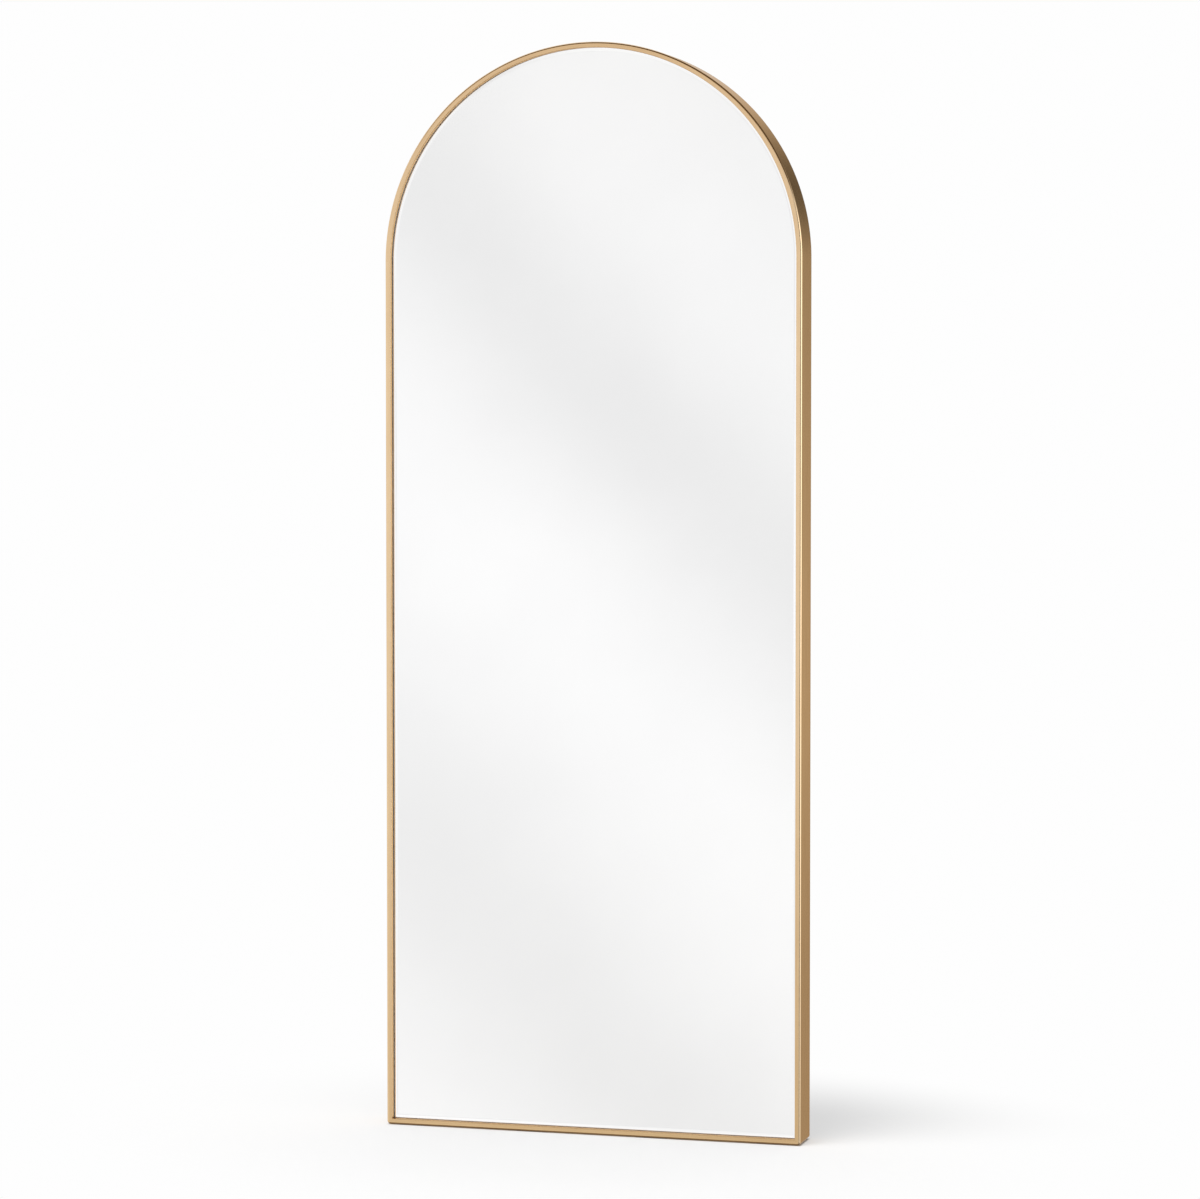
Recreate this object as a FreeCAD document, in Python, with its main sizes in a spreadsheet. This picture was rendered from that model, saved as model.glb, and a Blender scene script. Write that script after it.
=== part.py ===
import FreeCAD
import Part
import Sketcher
import math
import os

# Arched floor mirror with a deep formed-metal frame.
#
# Millimetres, +Z up.  The origin is on the floor, under the middle of the whole mirror, wall
# bumpers included.  The glass faces -Y, the open back of the frame faces +Y.
#
# The frame is one hoop of formed sheet.  Glass, boards and a softwood subframe are slid into it
# from the back and held by lugs on weld studs.  "Inset" below always means the distance inwards
# from the outer face of the hoop, measured in the plane of the mirror.

doc = FreeCAD.newDocument("floor_mirror")

# ---------------------------------------------------------------------------------------------
# Driving dimensions
# ---------------------------------------------------------------------------------------------

DRIVING_SIZES = {
    # The hoop
    "overall_width": 762,
    "overall_height": 1930,
    "frame_depth": 76,
    "face_width": 10,
    "sheet_gauge": 1.5,
    "nose_depth": 8,
    "seat_slot": 0.8,
    "hem_width": 3,
    "front_rounding": 3.5,
    "lip_chamfer": 0.5,
    "rear_chamfer": 0.8,
    "corner_rounding": 6,
    # Non-slip pads under the hoop
    "foot_thickness": 1,
    "foot_length": 60,
    "foot_setback": 5,
    "foot_inset": 51,
    "foot_count": 4,
    # Glass and boards, front to back
    "package_clearance": 2,
    "tape_thickness": 1,
    "tape_setback": 0.6,
    "glass_thickness": 5,
    "bevel_width": 12.5,
    "bevel_drop": 1.8,
    "film_thickness": 0.3,
    "foam_thickness": 1.7,
    "board_thickness": 6,
    "cover_thickness": 4,
    "cover_recess": 12,
    "block_length": 60,
    "block_inset": 191,
    # Softwood subframe
    "batten_width": 30,
    "arch_segments": 3,
    # Screws
    "screw_diameter": 4,
    "screw_head_diameter": 8,
    "screw_head_height": 2.2,
    "drill_clearance": 0.1,
    "cover_screw_length": 25,
    "joint_screw_length": 65,
    "joint_screw_spacing": 19,
    "lowest_cover_screw": 120,
    "highest_screw_drop": 109,
    "cover_screws_per_stile": 5,
    "cover_screws_on_arch": 6,
    "rail_screw_from_end": 177.5,
    # Lugs, studs and nuts
    "lugs_per_stile": 3,
    "lugs_on_arch": 3,
    "bottom_lug_inset": 251,
    "lug_gauge": 1.5,
    "lug_length": 18,
    "lug_wall_leg": 8.8,
    "lug_cover_leg": 18,
    "lug_screw_position": 12,
    "stud_diameter": 4,
    "stud_length": 8,
    "stud_back": 5.2,
    "nut_width": 7,
    "nut_height": 3.2,
    # Hangers
    "hanger_drop": 274,
    "hanger_inset": 19,
    "strap_gauge": 1.5,
    "strap_width": 16,
    "strap_length": 36,
    "strap_corner": 3,
    "first_strap_screw": 10,
    "second_strap_screw": 28,
    "ring_wire": 3.5,
    "ring_bar": 17,
    "ring_corner": 4,
    "ring_leg": 2,
    "ring_axis_back": 4.2,
    "knuckle_clearance": 0.08,
    "knuckle_wall": 1.5,
    # Rubber wall bumpers
    "bumper_diameter": 22,
    "bumper_tip_diameter": 18,
    "bumper_projection": 2,
    "bumper_rim": 2.5,
    "bumper_seat": 5,
    "bumper_low_height": 62,
    "bumper_arch_angle": 68,
}

sheet = doc.addObject("Spreadsheet::Sheet", "Sizes")
for row, (alias, size) in enumerate(DRIVING_SIZES.items(), start=1):
    sheet.set(f"A{row}", alias.replace("_", " "))
    sheet.set(f"B{row}", str(size))
    sheet.setAlias(f"B{row}", alias)
doc.recompute()

# Sizes worked out from the driving ones, written as expressions.
HALF_WIDTH = "(Sizes.overall_width / 2)"
SPRING_LINE = "(Sizes.overall_height - Sizes.overall_width / 2)"
PACKAGE_INSET = "(Sizes.sheet_gauge + Sizes.package_clearance)"
PACKAGE_FOOT = f"(Sizes.foot_thickness + {PACKAGE_INSET})"
FRONT_FACE = "(-(Sizes.frame_depth + Sizes.bumper_projection) / 2)"
SEAT = f"({FRONT_FACE} + Sizes.nose_depth)"
GLASS_FRONT = f"({SEAT} + Sizes.tape_thickness)"
FILM_FRONT = f"({GLASS_FRONT} + Sizes.glass_thickness)"
FOAM_FRONT = f"({FILM_FRONT} + Sizes.film_thickness)"
BOARD_FRONT = f"({FOAM_FRONT} + Sizes.foam_thickness)"
BATTEN_FRONT = f"({BOARD_FRONT} + Sizes.board_thickness)"
COVER_BACK = f"({FRONT_FACE} + Sizes.frame_depth - Sizes.cover_recess)"
COVER_FRONT = f"({COVER_BACK} - Sizes.cover_thickness)"
BATTEN_DEPTH = f"({COVER_FRONT} - {BATTEN_FRONT})"
BUMPER_HEIGHT = f"({FRONT_FACE} + Sizes.frame_depth + Sizes.bumper_projection - {COVER_BACK})"
KNUCKLE_RADIUS = "(Sizes.ring_wire / 2 + Sizes.knuckle_clearance + Sizes.knuckle_wall)"

HANGER_HEIGHT = f"({SPRING_LINE} - Sizes.hanger_drop)"
RAIL_HALF_LENGTH = f"({HALF_WIDTH} - {PACKAGE_INSET} - Sizes.batten_width)"
RAILS = (
    "subframe_bottom_rail",
    "subframe_lower_rail",
    "subframe_middle_rail",
    "subframe_upper_rail",
)

# Small round things are drawn with flat sides, so that the many of them stay light.
SHANK_SIDES = 6
HEAD_SIDES = 8
WIRE_SIDES = 8
BEND_STEP = 18
KNUCKLE_SIDES = 12
BUMPER_SIDES = 12

# Two places nearer to each other than this are the same place.
SAME_PLACE = 0.01


def measure(expression):
    """Value of an expression of the sheet, as a plain number."""
    return float(sheet.evalExpression(str(expression)))


def count(alias):
    """A whole number from the sheet."""
    return int(round(measure(f"Sizes.{alias}")))


# ---------------------------------------------------------------------------------------------
# Document helpers
# ---------------------------------------------------------------------------------------------


def bind(item, **expressions):
    """Binds properties to expressions; a double underscore in a name stands for a full stop."""
    for name, expression in expressions.items():
        item.setExpression(name.replace("__", "."), str(expression))


def new_body(label, back="0", height="0"):
    """A body whose own origin lies at this depth and so high above the floor."""
    body = doc.addObject("PartDesign::Body", label)
    body.Label = label
    bind(body, Placement__Base__y=back, Placement__Base__z=height)
    return body


def new_sketch(body, name, plane, offset="0"):
    """A sketch on one of the body's origin planes, moved along the plane's normal by offset."""
    sketch = body.newObject("Sketcher::SketchObject", f"{body.Name}_{name}")
    support = [item for item in body.Origin.OriginFeatures if item.Role == plane][0]
    sketch.AttachmentSupport = [(support, "")]
    sketch.MapMode = "FlatFace"
    bind(sketch, AttachmentOffset__Base__z=offset)
    return sketch


def pad(body, sketch, length, backwards=False, midplane=False):
    """Pads a sketch; backwards is against the normal of its plane."""
    feature = body.newObject("PartDesign::Pad", f"{sketch.Name}_pad")
    feature.Profile = sketch
    feature.Reversed = backwards
    feature.Midplane = midplane
    bind(feature, Length=length)
    sketch.Visibility = False
    doc.recompute()
    return feature


def pocket_through(body, sketch):
    """Cuts a sketch through the whole body, both ways, and checks that it took material away."""
    before = body.Tip.Shape.Volume
    feature = body.newObject("PartDesign::Pocket", f"{sketch.Name}_pocket")
    feature.Profile = sketch
    feature.Type = "ThroughAll"
    feature.Midplane = True
    doc.recompute()
    if not feature.Shape.Volume < before:
        raise RuntimeError(f"{feature.Name} cuts nothing")
    return feature


def round_edges(body, name, edges, radius):
    """Rounds the numbered edges of the body's last feature."""
    last = body.Tip
    feature = body.newObject("PartDesign::Fillet", f"{body.Name}_{name}")
    feature.Base = (last, edges)
    bind(feature, Radius=radius)
    doc.recompute()
    return feature


def cut_edges(body, name, edges, size):
    """Chamfers the numbered edges of the body's last feature."""
    last = body.Tip
    feature = body.newObject("PartDesign::Chamfer", f"{body.Name}_{name}")
    feature.Base = (last, edges)
    bind(feature, Size=size)
    doc.recompute()
    return feature


def constrain(sketch, constraint, expression=None):
    """Adds a constraint and, for a dimension, binds it to an expression."""
    index = sketch.addConstraint(constraint)
    if expression is not None:
        sketch.setExpression(f"Constraints[{index}]", str(expression))
    return index


def place_point(sketch, curve, end, x, y):
    """Holds one end (1 or 2) or the centre (3) of a curve at x, y from the sketch's origin."""
    constrain(sketch, Sketcher.Constraint("DistanceX", -1, 1, curve, end, measure(x)), x)
    constrain(sketch, Sketcher.Constraint("DistanceY", -1, 1, curve, end, measure(y)), y)


def polygon(sketch, corners):
    """Draws a closed polygon; each corner is a pair of expressions."""
    points = [FreeCAD.Vector(measure(x), measure(y), 0) for x, y in corners]
    first = sketch.GeometryCount
    total = len(points)
    for index, start in enumerate(points):
        sketch.addGeometry(Part.LineSegment(start, points[(index + 1) % total]), False)
    for index, (x, y) in enumerate(corners):
        previous = first + (index - 1) % total
        constrain(sketch, Sketcher.Constraint("Coincident", previous, 2, first + index, 1))
        place_point(sketch, first + index, 1, x, y)


def round_outline(sketch, radius, sides, x="0"):
    """Draws a circle as a regular polygon, its corners on the radius, its centre at x, 0."""
    corners = []
    for number in range(sides):
        turn = f"({number} * 360 deg / {sides})"
        corners.append((f"{x} + ({radius}) * cos({turn})", f"({radius}) * sin({turn})"))
    polygon(sketch, corners)


def arc(sketch, x, y, radius, start, end):
    """Adds an arc with a bound centre and radius, from start to end in degrees, and returns it."""
    centre = FreeCAD.Vector(measure(x), measure(y), 0)
    full = Part.Circle(centre, FreeCAD.Vector(0, 0, 1), measure(radius))
    index = sketch.addGeometry(
        Part.ArcOfCircle(full, math.radians(start), math.radians(end)), False
    )
    constrain(sketch, Sketcher.Constraint("Radius", index, measure(radius)), radius)
    return index


def tangent(sketch, first, first_end, second, second_end):
    """Joins two ends so that the curves run on smoothly."""
    constrain(sketch, Sketcher.Constraint("Tangent", first, first_end, second, second_end))


# ---------------------------------------------------------------------------------------------
# The arch outline, which every layer of the mirror follows
# ---------------------------------------------------------------------------------------------


def line(sketch, start, end):
    """Adds a straight line between two points given as numbers and returns it."""
    first = FreeCAD.Vector(start[0], start[1], 0)
    last = FreeCAD.Vector(end[0], end[1], 0)
    return sketch.addGeometry(Part.LineSegment(first, last), False)


def arch_outline(sketch, inset, rounding="0", datum="0"):
    """Draws the outline of the mirror at an inset, its bottom corners rounded or sharp.

    The outline is a half circle on two straight sides.  Heights are measured from the datum,
    the height of the body's own origin above the floor.
    """
    half_text = f"({HALF_WIDTH} - ({inset}))"
    foot_text = f"(Sizes.foot_thickness + ({inset}) - ({datum}))"
    spring_text = f"({SPRING_LINE} - ({datum}))"
    half = measure(half_text)
    foot = measure(foot_text)
    spring = measure(spring_text)
    corner = measure(rounding)

    left = line(sketch, (-half, foot + corner), (-half, spring))
    right = line(sketch, (half, spring), (half, foot + corner))
    bottom = line(sketch, (half - corner, foot), (-half + corner, foot))
    crown = arc(sketch, "0", spring_text, half_text, 0, 180)
    place_point(sketch, crown, 3, "0", spring_text)
    for side in (left, right):
        constrain(sketch, Sketcher.Constraint("Vertical", side))
    constrain(sketch, Sketcher.Constraint("Horizontal", bottom))
    tangent(sketch, left, 2, crown, 2)
    tangent(sketch, right, 1, crown, 1)
    constrain(
        sketch, Sketcher.Constraint("DistanceY", -1, 1, bottom, 1, foot), foot_text
    )
    if corner > 0:
        reach = half - corner
        right_corner = line_corner(sketch, (reach, foot + corner), rounding, 270)
        left_corner = line_corner(sketch, (-reach, foot + corner), rounding, 180)
        tangent(sketch, right, 2, right_corner, 2)
        tangent(sketch, bottom, 1, right_corner, 1)
        tangent(sketch, bottom, 2, left_corner, 2)
        tangent(sketch, left, 1, left_corner, 1)
    else:
        constrain(sketch, Sketcher.Constraint("Coincident", right, 2, bottom, 1))
        constrain(sketch, Sketcher.Constraint("Coincident", bottom, 2, left, 1))


def line_corner(sketch, centre, radius, start):
    """Adds a quarter round whose centre is found by the lines that it joins."""
    full = Part.Circle(
        FreeCAD.Vector(centre[0], centre[1], 0), FreeCAD.Vector(0, 0, 1), measure(radius)
    )
    index = sketch.addGeometry(
        Part.ArcOfCircle(full, math.radians(start), math.radians(start + 90)), False
    )
    constrain(sketch, Sketcher.Constraint("Radius", index, measure(radius)), radius)
    return index


def corner_at(inset):
    """Rounding of the hoop's bottom corners at an inset, or sharp once it is used up."""
    rounding = f"(Sizes.corner_rounding - ({inset}))"
    return rounding if measure(rounding) > 0 else "0"


def arch_layer(label, back, inset, thickness):
    """A sheet in the shape of the arch, its front face at this depth."""
    body = new_body(label, back)
    sketch = new_sketch(body, "outline", "XZ_Plane")
    arch_outline(sketch, inset)
    pad(body, sketch, thickness, backwards=True)
    return body


# ---------------------------------------------------------------------------------------------
# Frame band: one formed section carried round the whole hoop
# ---------------------------------------------------------------------------------------------


def section_ring(body, name, outer, inner, front, depth):
    """One wall of the formed section, from inset outer to inset inner, carried round the hoop."""
    sketch = new_sketch(body, name, "XZ_Plane", f"-({front})")
    arch_outline(sketch, outer, corner_at(outer))
    arch_outline(sketch, inner, corner_at(inner))
    return pad(body, sketch, depth, backwards=True)


def inset_of(point):
    """How far a point lies inside the outer face of the hoop."""
    half = measure(HALF_WIDTH)
    spring = measure(SPRING_LINE)
    if point.z > spring:
        return half - math.hypot(point.x, point.z - spring)
    return min(half - abs(point.x), point.z - measure("Sizes.foot_thickness"))


def loop_edges(shape, back, inset, reach):
    """Names of the edges that run round the hoop at a depth, within reach of an inset."""
    names = []
    for number, edge in enumerate(shape.Edges, start=1):
        middle = edge.valueAt((edge.FirstParameter + edge.LastParameter) / 2)
        in_plane = edge.BoundBox.YLength < SAME_PLACE and abs(middle.y - back) < SAME_PLACE
        if in_plane and abs(inset_of(middle) - inset) < reach:
            names.append(f"Edge{number}")
    return names


def treat_loop(body, name, treatment, back, inset, reach, size):
    """Rounds or chamfers the edges that run round the hoop so far behind its face and inset."""
    edges = loop_edges(body.Tip.Shape, measure(back), measure(inset), measure(reach))
    treatment(body, name, edges, size)


def make_frame_band():
    """The hoop: side wall, face, reveal wall, seat flange and rear hem, all of one sheet."""
    body = new_body("frame_band", FRONT_FACE)
    gauge = "Sizes.sheet_gauge"
    reveal = "(Sizes.face_width - Sizes.sheet_gauge)"
    seat_edge = "(Sizes.sheet_gauge + Sizes.seat_slot)"
    seat_front = "(Sizes.nose_depth - Sizes.sheet_gauge)"
    hem_front = "(Sizes.frame_depth - Sizes.hem_width)"
    half_face = "(Sizes.face_width / 2)"

    section_ring(body, "side_wall", "0", gauge, "0", "Sizes.frame_depth")
    section_ring(body, "face", "0", "Sizes.face_width", "0", gauge)
    section_ring(body, "reveal", reveal, "Sizes.face_width", "0", "Sizes.nose_depth")
    section_ring(body, "seat", seat_edge, "Sizes.face_width", seat_front, gauge)
    section_ring(body, "hem", "0", "Sizes.hem_width", hem_front, "Sizes.hem_width")

    # The flat inside the front fold touches the round that would keep the sheet's gauge.
    inner_flat = "((2 - sqrt(2)) * (Sizes.front_rounding - Sizes.sheet_gauge))"
    corner_reach = "(Sizes.corner_rounding / 2)"
    treat_loop(body, "inner_fold", cut_edges, gauge, gauge, corner_reach, inner_flat)
    treat_loop(body, "front_fold", round_edges, "0", "0", half_face, "Sizes.front_rounding")
    treat_loop(body, "lip", cut_edges, "0", "Sizes.face_width", half_face, "Sizes.lip_chamfer")
    treat_loop(
        body, "rear_fold", cut_edges, "Sizes.frame_depth", "0", "(Sizes.hem_width / 2)",
        "Sizes.rear_chamfer",
    )
    return body


# ---------------------------------------------------------------------------------------------
# Glass, tape and boards
# ---------------------------------------------------------------------------------------------


def make_mirror_glass():
    """Arched glass with a bevel ground round the whole front edge."""
    body = new_body("mirror_glass", GLASS_FRONT)
    full = new_sketch(body, "outline", "XZ_Plane", "-Sizes.bevel_drop")
    arch_outline(full, PACKAGE_INSET)
    pad(body, full, "Sizes.glass_thickness - Sizes.bevel_drop", backwards=True)
    edge = new_sketch(body, "bevel_edge", "XZ_Plane", "-Sizes.bevel_drop")
    arch_outline(edge, PACKAGE_INSET)
    flat = new_sketch(body, "bevel_top", "XZ_Plane")
    arch_outline(flat, f"{PACKAGE_INSET} + Sizes.bevel_width")
    bevel = body.newObject("PartDesign::AdditiveLoft", "bevel")
    bevel.Profile = edge
    bevel.Sections = [flat]
    bevel.Ruled = True
    doc.recompute()
    return body


def make_glazing_tape():
    """Foam tape round the seat, a little back from the reveal so that it doesn't show."""
    body = new_body("glazing_tape", SEAT)
    sketch = new_sketch(body, "outline", "XZ_Plane")
    arch_outline(sketch, PACKAGE_INSET)
    arch_outline(sketch, "(Sizes.face_width - Sizes.tape_setback)")
    pad(body, sketch, "Sizes.tape_thickness", backwards=True)
    return body


# ---------------------------------------------------------------------------------------------
# Fixing points, shared by the drilled holes and by what goes into them
# ---------------------------------------------------------------------------------------------

ALONG_BACK = FreeCAD.Rotation()
AWAY_FROM_HEAD = FreeCAD.Vector(0, -1, 0)


def turned(angle):
    """Turn about the Y axis that takes +X to the direction at this angle above +X."""
    return FreeCAD.Rotation(FreeCAD.Vector(0, 1, 0), -angle)


def on_arch(inset, angle):
    """Point on the arch at an inset and at an angle above the spring line, from the +X side."""
    radius = measure(HALF_WIDTH) - inset
    turn = math.radians(angle)
    return radius * math.cos(turn), measure(SPRING_LINE) + radius * math.sin(turn)


def batten_line():
    """Inset of the middle of the battens that follow the hoop."""
    return measure(f"{PACKAGE_INSET} + Sizes.batten_width / 2")


def rail_height(number):
    """Height of the middle of a rail: they are evenly spaced between the ends of the stiles."""
    lowest = f"({PACKAGE_FOOT} + Sizes.batten_width / 2)"
    highest = f"({SPRING_LINE} - Sizes.batten_width / 2)"
    return f"({lowest} + {number} * ({highest} - {lowest}) / {len(RAILS) - 1})"


def stile_screw_height(number):
    """Height of a cover screw in a stile; a half number lies midway between two screws."""
    lowest = "Sizes.lowest_cover_screw"
    highest = f"({SPRING_LINE} - Sizes.highest_screw_drop)"
    return measure(f"{lowest} + {number} * ({highest} - {lowest}) / (Sizes.cover_screws_per_stile - 1)")


def arch_angles(total):
    """Angles of so many equal steps over the arch, each at the middle of its step."""
    return [180 * (number + 0.5) / total for number in range(total)]


def cover_screw_points():
    """Where the cover is screwed to stiles, rails and arch."""
    side = measure(HALF_WIDTH) - batten_line()
    across = measure(f"{RAIL_HALF_LENGTH} - Sizes.rail_screw_from_end")
    points = []
    for number in range(count("cover_screws_per_stile")):
        height = stile_screw_height(number)
        points += [(-side, height), (side, height)]
    for angle in arch_angles(count("cover_screws_on_arch")):
        points.append(on_arch(batten_line(), angle))
    for number in range(len(RAILS)):
        height = measure(rail_height(number))
        points += [(-across, height), (across, height)]
    return points


def lug_frames(chord="0"):
    """Place of each lug: its point on the inside of the hoop and the angle that faces inwards.

    A flat piece as long as the chord touches the curved wall with its ends, so on the arch its
    middle stands a little off the wall.
    """
    gauge = measure("Sizes.sheet_gauge")
    side = measure(HALF_WIDTH) - gauge
    frames = []
    for number in range(count("lugs_per_stile")):
        height = stile_screw_height(number + 0.5)
        frames += [((-side, height), 0), ((side, height), 180)]
    radius = measure(HALF_WIDTH) - gauge
    hollow = radius - math.sqrt(radius**2 - (measure(chord) / 2) ** 2)
    for angle in arch_angles(count("lugs_on_arch")):
        frames.append((on_arch(gauge + hollow, angle), angle + 180))
    floor = measure("Sizes.foot_thickness + Sizes.sheet_gauge")
    across = measure(f"{HALF_WIDTH} - Sizes.bottom_lug_inset")
    frames += [((-across, floor), 90), ((across, floor), 90)]
    return frames


def lug_screw_points():
    """Where the lugs are screwed through the cover into the battens."""
    reach = measure("Sizes.lug_screw_position")
    points = []
    for (x, height), angle in lug_frames():
        turn = math.radians(angle)
        points.append((x + reach * math.cos(turn), height + reach * math.sin(turn)))
    return points


def hanger_side():
    """Distance of the middle of each hanger from the middle of the mirror."""
    return measure(f"{HALF_WIDTH} - Sizes.hanger_inset")


def hanger_screw_points():
    """Two screws for each hanger strap."""
    points = []
    for side in (-hanger_side(), hanger_side()):
        for place in ("first_strap_screw", "second_strap_screw"):
            points.append((side, measure(f"{HANGER_HEIGHT} - Sizes.{place}")))
    return points


def bumper_points():
    """Four wall bumpers: two near the floor and two on the arch."""
    side = measure(HALF_WIDTH) - batten_line()
    low = measure("Sizes.bumper_low_height")
    angle = measure("Sizes.bumper_arch_angle")
    points = [(-side, low), (side, low)]
    points += [on_arch(batten_line(), angle), on_arch(batten_line(), 180 - angle)]
    return points


# ---------------------------------------------------------------------------------------------
# Drilled wood
# ---------------------------------------------------------------------------------------------


def joint_screw_places():
    """Place of each screw between stile and rail, its head at the outside of the stile."""
    sink = measure(f"{HALF_WIDTH} - {PACKAGE_INSET} - Sizes.screw_head_height")
    middle = measure(f"({BATTEN_FRONT} + {COVER_FRONT}) / 2")
    spacing = measure("Sizes.joint_screw_spacing / 2")
    places = []
    for number in range(len(RAILS)):
        height = measure(rail_height(number))
        for back in (middle - spacing, middle + spacing):
            for side in (-1, 1):
                start = FreeCAD.Vector(side * sink, back, height)
                inwards = FreeCAD.Rotation(AWAY_FROM_HEAD, FreeCAD.Vector(-side, 0, 0))
                places.append(FreeCAD.Placement(start, inwards))
    return places


def back_screw_places():
    """Places of the screws driven from the back, by node, each under its own head."""
    cover = measure(COVER_BACK)
    return {
        "cover_screws": behind(cover_screw_points(), cover),
        "lug_screws": behind(lug_screw_points(), cover + measure("Sizes.lug_gauge")),
        "hanger_screws": behind(hanger_screw_points(), cover + measure("Sizes.strap_gauge")),
        "bumper_screws": behind(bumper_points(), cover + measure("Sizes.bumper_seat")),
    }


def make_drills():
    """All the holes of the mirror: the shape of each screw and stud, larger by the clearance."""
    short = make_screw("short_drill", "Sizes.cover_screw_length", "Sizes.drill_clearance")
    long = make_screw("long_drill", "Sizes.joint_screw_length", "Sizes.drill_clearance")
    stud = make_stud("stud_drill", "Sizes.drill_clearance")
    drills = copied(long, joint_screw_places())
    for places in back_screw_places().values():
        drills += copied(short, places)
    drills += copied(stud, facing_inwards(lug_frames(), measure(COVER_BACK)))
    return drills


def drilled(label, blank, drills):
    """The blank with those holes taken out that reach it, under its own name."""
    doc.recompute()
    box = blank.Shape.BoundBox
    holes = doc.addObject("Part::Feature", f"{label}_holes")
    holes.Shape = Part.makeCompound([drill for drill in drills if drill.BoundBox.intersect(box)])
    piece = doc.addObject("Part::Cut", label)
    piece.Label = label
    piece.Base = blank
    piece.Tool = holes
    doc.recompute()
    return piece


def batten(name, length, width, depth, x, y, z):
    """A straight batten; every size and place is an expression."""
    box = doc.addObject("Part::Box", name)
    bind(box, Length=length, Width=depth, Height=width)
    bind(box, Placement__Base__x=x, Placement__Base__y=y, Placement__Base__z=z)
    return box


def make_stile(label, x, drills):
    """An upright batten from the bottom of the frame to the spring line."""
    length = f"({SPRING_LINE} - {PACKAGE_FOOT})"
    blank = batten(
        f"{label}_blank", "Sizes.batten_width", length, BATTEN_DEPTH, x, BATTEN_FRONT,
        PACKAGE_FOOT,
    )
    return drilled(label, blank, drills)


def make_rail(label, number, drills):
    """A cross batten between the stiles."""
    blank = batten(
        f"{label}_blank", f"2 * {RAIL_HALF_LENGTH}", "Sizes.batten_width", BATTEN_DEPTH,
        f"-{RAIL_HALF_LENGTH}", BATTEN_FRONT, f"{rail_height(number)} - Sizes.batten_width / 2",
    )
    return drilled(label, blank, drills)


def make_arch_segment(label, number, drills):
    """One of the equal curved blocks of the arch; number 0 starts at the +X side."""
    outer = f"({HALF_WIDTH} - {PACKAGE_INSET})"
    inner = RAIL_HALF_LENGTH
    half_angle = 90 / count("arch_segments")
    body = new_body(f"{label}_blank", BATTEN_FRONT, SPRING_LINE)
    sketch = new_sketch(body, "sector", "XZ_Plane")
    span = (90 - half_angle, 90 + half_angle)
    outer_arc = arc(sketch, "0", "0", outer, *span)
    inner_arc = arc(sketch, "0", "0", inner, *span)
    for curve in (outer_arc, inner_arc):
        constrain(sketch, Sketcher.Constraint("Coincident", curve, 3, -1, 1))
    for end, angle in ((1, span[0]), (2, span[1])):
        turn = math.radians(angle)
        direction = (math.cos(turn), math.sin(turn))
        near = [measure(inner) * value for value in direction]
        far = [measure(outer) * value for value in direction]
        cut = line(sketch, near, far)
        constrain(sketch, Sketcher.Constraint("Coincident", cut, 1, inner_arc, end))
        constrain(sketch, Sketcher.Constraint("Coincident", cut, 2, outer_arc, end))
        constrain(
            sketch, Sketcher.Constraint("Angle", -1, 1, cut, 1, turn),
            f"{angle - 90} deg / {half_angle} * 90 / Sizes.arch_segments + 90 deg",
        )
    pad(body, sketch, BATTEN_DEPTH, backwards=True)
    bind(body, Placement__Rotation__Angle=f"90 deg - (2 * {number} + 1) * 90 deg / Sizes.arch_segments")
    body.Placement.Rotation.Axis = FreeCAD.Vector(0, 1, 0)
    doc.recompute()
    return drilled(label, body, drills)


# ---------------------------------------------------------------------------------------------
# Screws, studs, nuts and lugs: one of each is modelled and copied to its places
# ---------------------------------------------------------------------------------------------


def make_screw(label, length, clearance="0"):
    """A flat-topped screw, its axis along Y, the head behind and the shank in front of y = 0."""
    body = new_body(label)
    shank = new_sketch(body, "shank", "XZ_Plane")
    round_outline(shank, f"(Sizes.screw_diameter + {clearance}) / 2", SHANK_SIDES)
    pad(body, shank, length)
    head = new_sketch(body, "head", "XZ_Plane")
    round_outline(head, f"(Sizes.screw_head_diameter + {clearance}) / 2", HEAD_SIDES)
    pad(body, head, "Sizes.screw_head_height", backwards=True)
    return body


def copied(master, places):
    """Copies of the master's shape, one at each place."""
    return [master.Shape.transformed(at.toMatrix()) for at in places]


def copies(label, master, places):
    """One node that holds a copy of the master at each place."""
    group = doc.addObject("Part::Feature", label)
    group.Label = label
    group.Shape = Part.makeCompound(copied(master, places))
    return group


def behind(points, back):
    """Places on the back of the mirror, at a depth."""
    return [FreeCAD.Placement(FreeCAD.Vector(x, back, height), ALONG_BACK) for x, height in points]


def facing_inwards(frames, back):
    """Places on the inside of the hoop at a depth, turned so that their +X points inwards."""
    places = []
    for (x, height), angle in frames:
        places.append(FreeCAD.Placement(FreeCAD.Vector(x, back, height), turned(angle)))
    return places


def make_lug():
    """An angle of sheet metal: one leg on the stud, the other over the cover."""
    body = new_body("lug_master")
    profile = new_sketch(body, "profile", "XY_Plane")
    gauge = "Sizes.lug_gauge"
    wall_leg = "Sizes.lug_wall_leg"
    cover_leg = "Sizes.lug_cover_leg"
    polygon(
        profile,
        [("0", "0"), (cover_leg, "0"), (cover_leg, gauge), (gauge, gauge), (gauge, wall_leg),
         ("0", wall_leg)],
    )
    pad(body, profile, "Sizes.lug_length", midplane=True)
    return body


def make_prism(label, sides, radius, length, start="0"):
    """A prism that points inwards along X at the depth of the studs."""
    prism = doc.addObject("Part::Prism", label)
    prism.Polygon = sides
    bind(prism, Circumradius=radius, Height=length)
    bind(prism, Placement__Base__x=start, Placement__Base__y="Sizes.stud_back")
    prism.Placement.Rotation = FreeCAD.Rotation(FreeCAD.Vector(0, 1, 0), 90)
    doc.recompute()
    return prism


def make_stud(label, clearance="0"):
    """A stud, welded to the inside of the hoop."""
    radius = f"(Sizes.stud_diameter + {clearance}) / 2"
    return make_prism(label, SHANK_SIDES, radius, "Sizes.stud_length")


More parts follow.
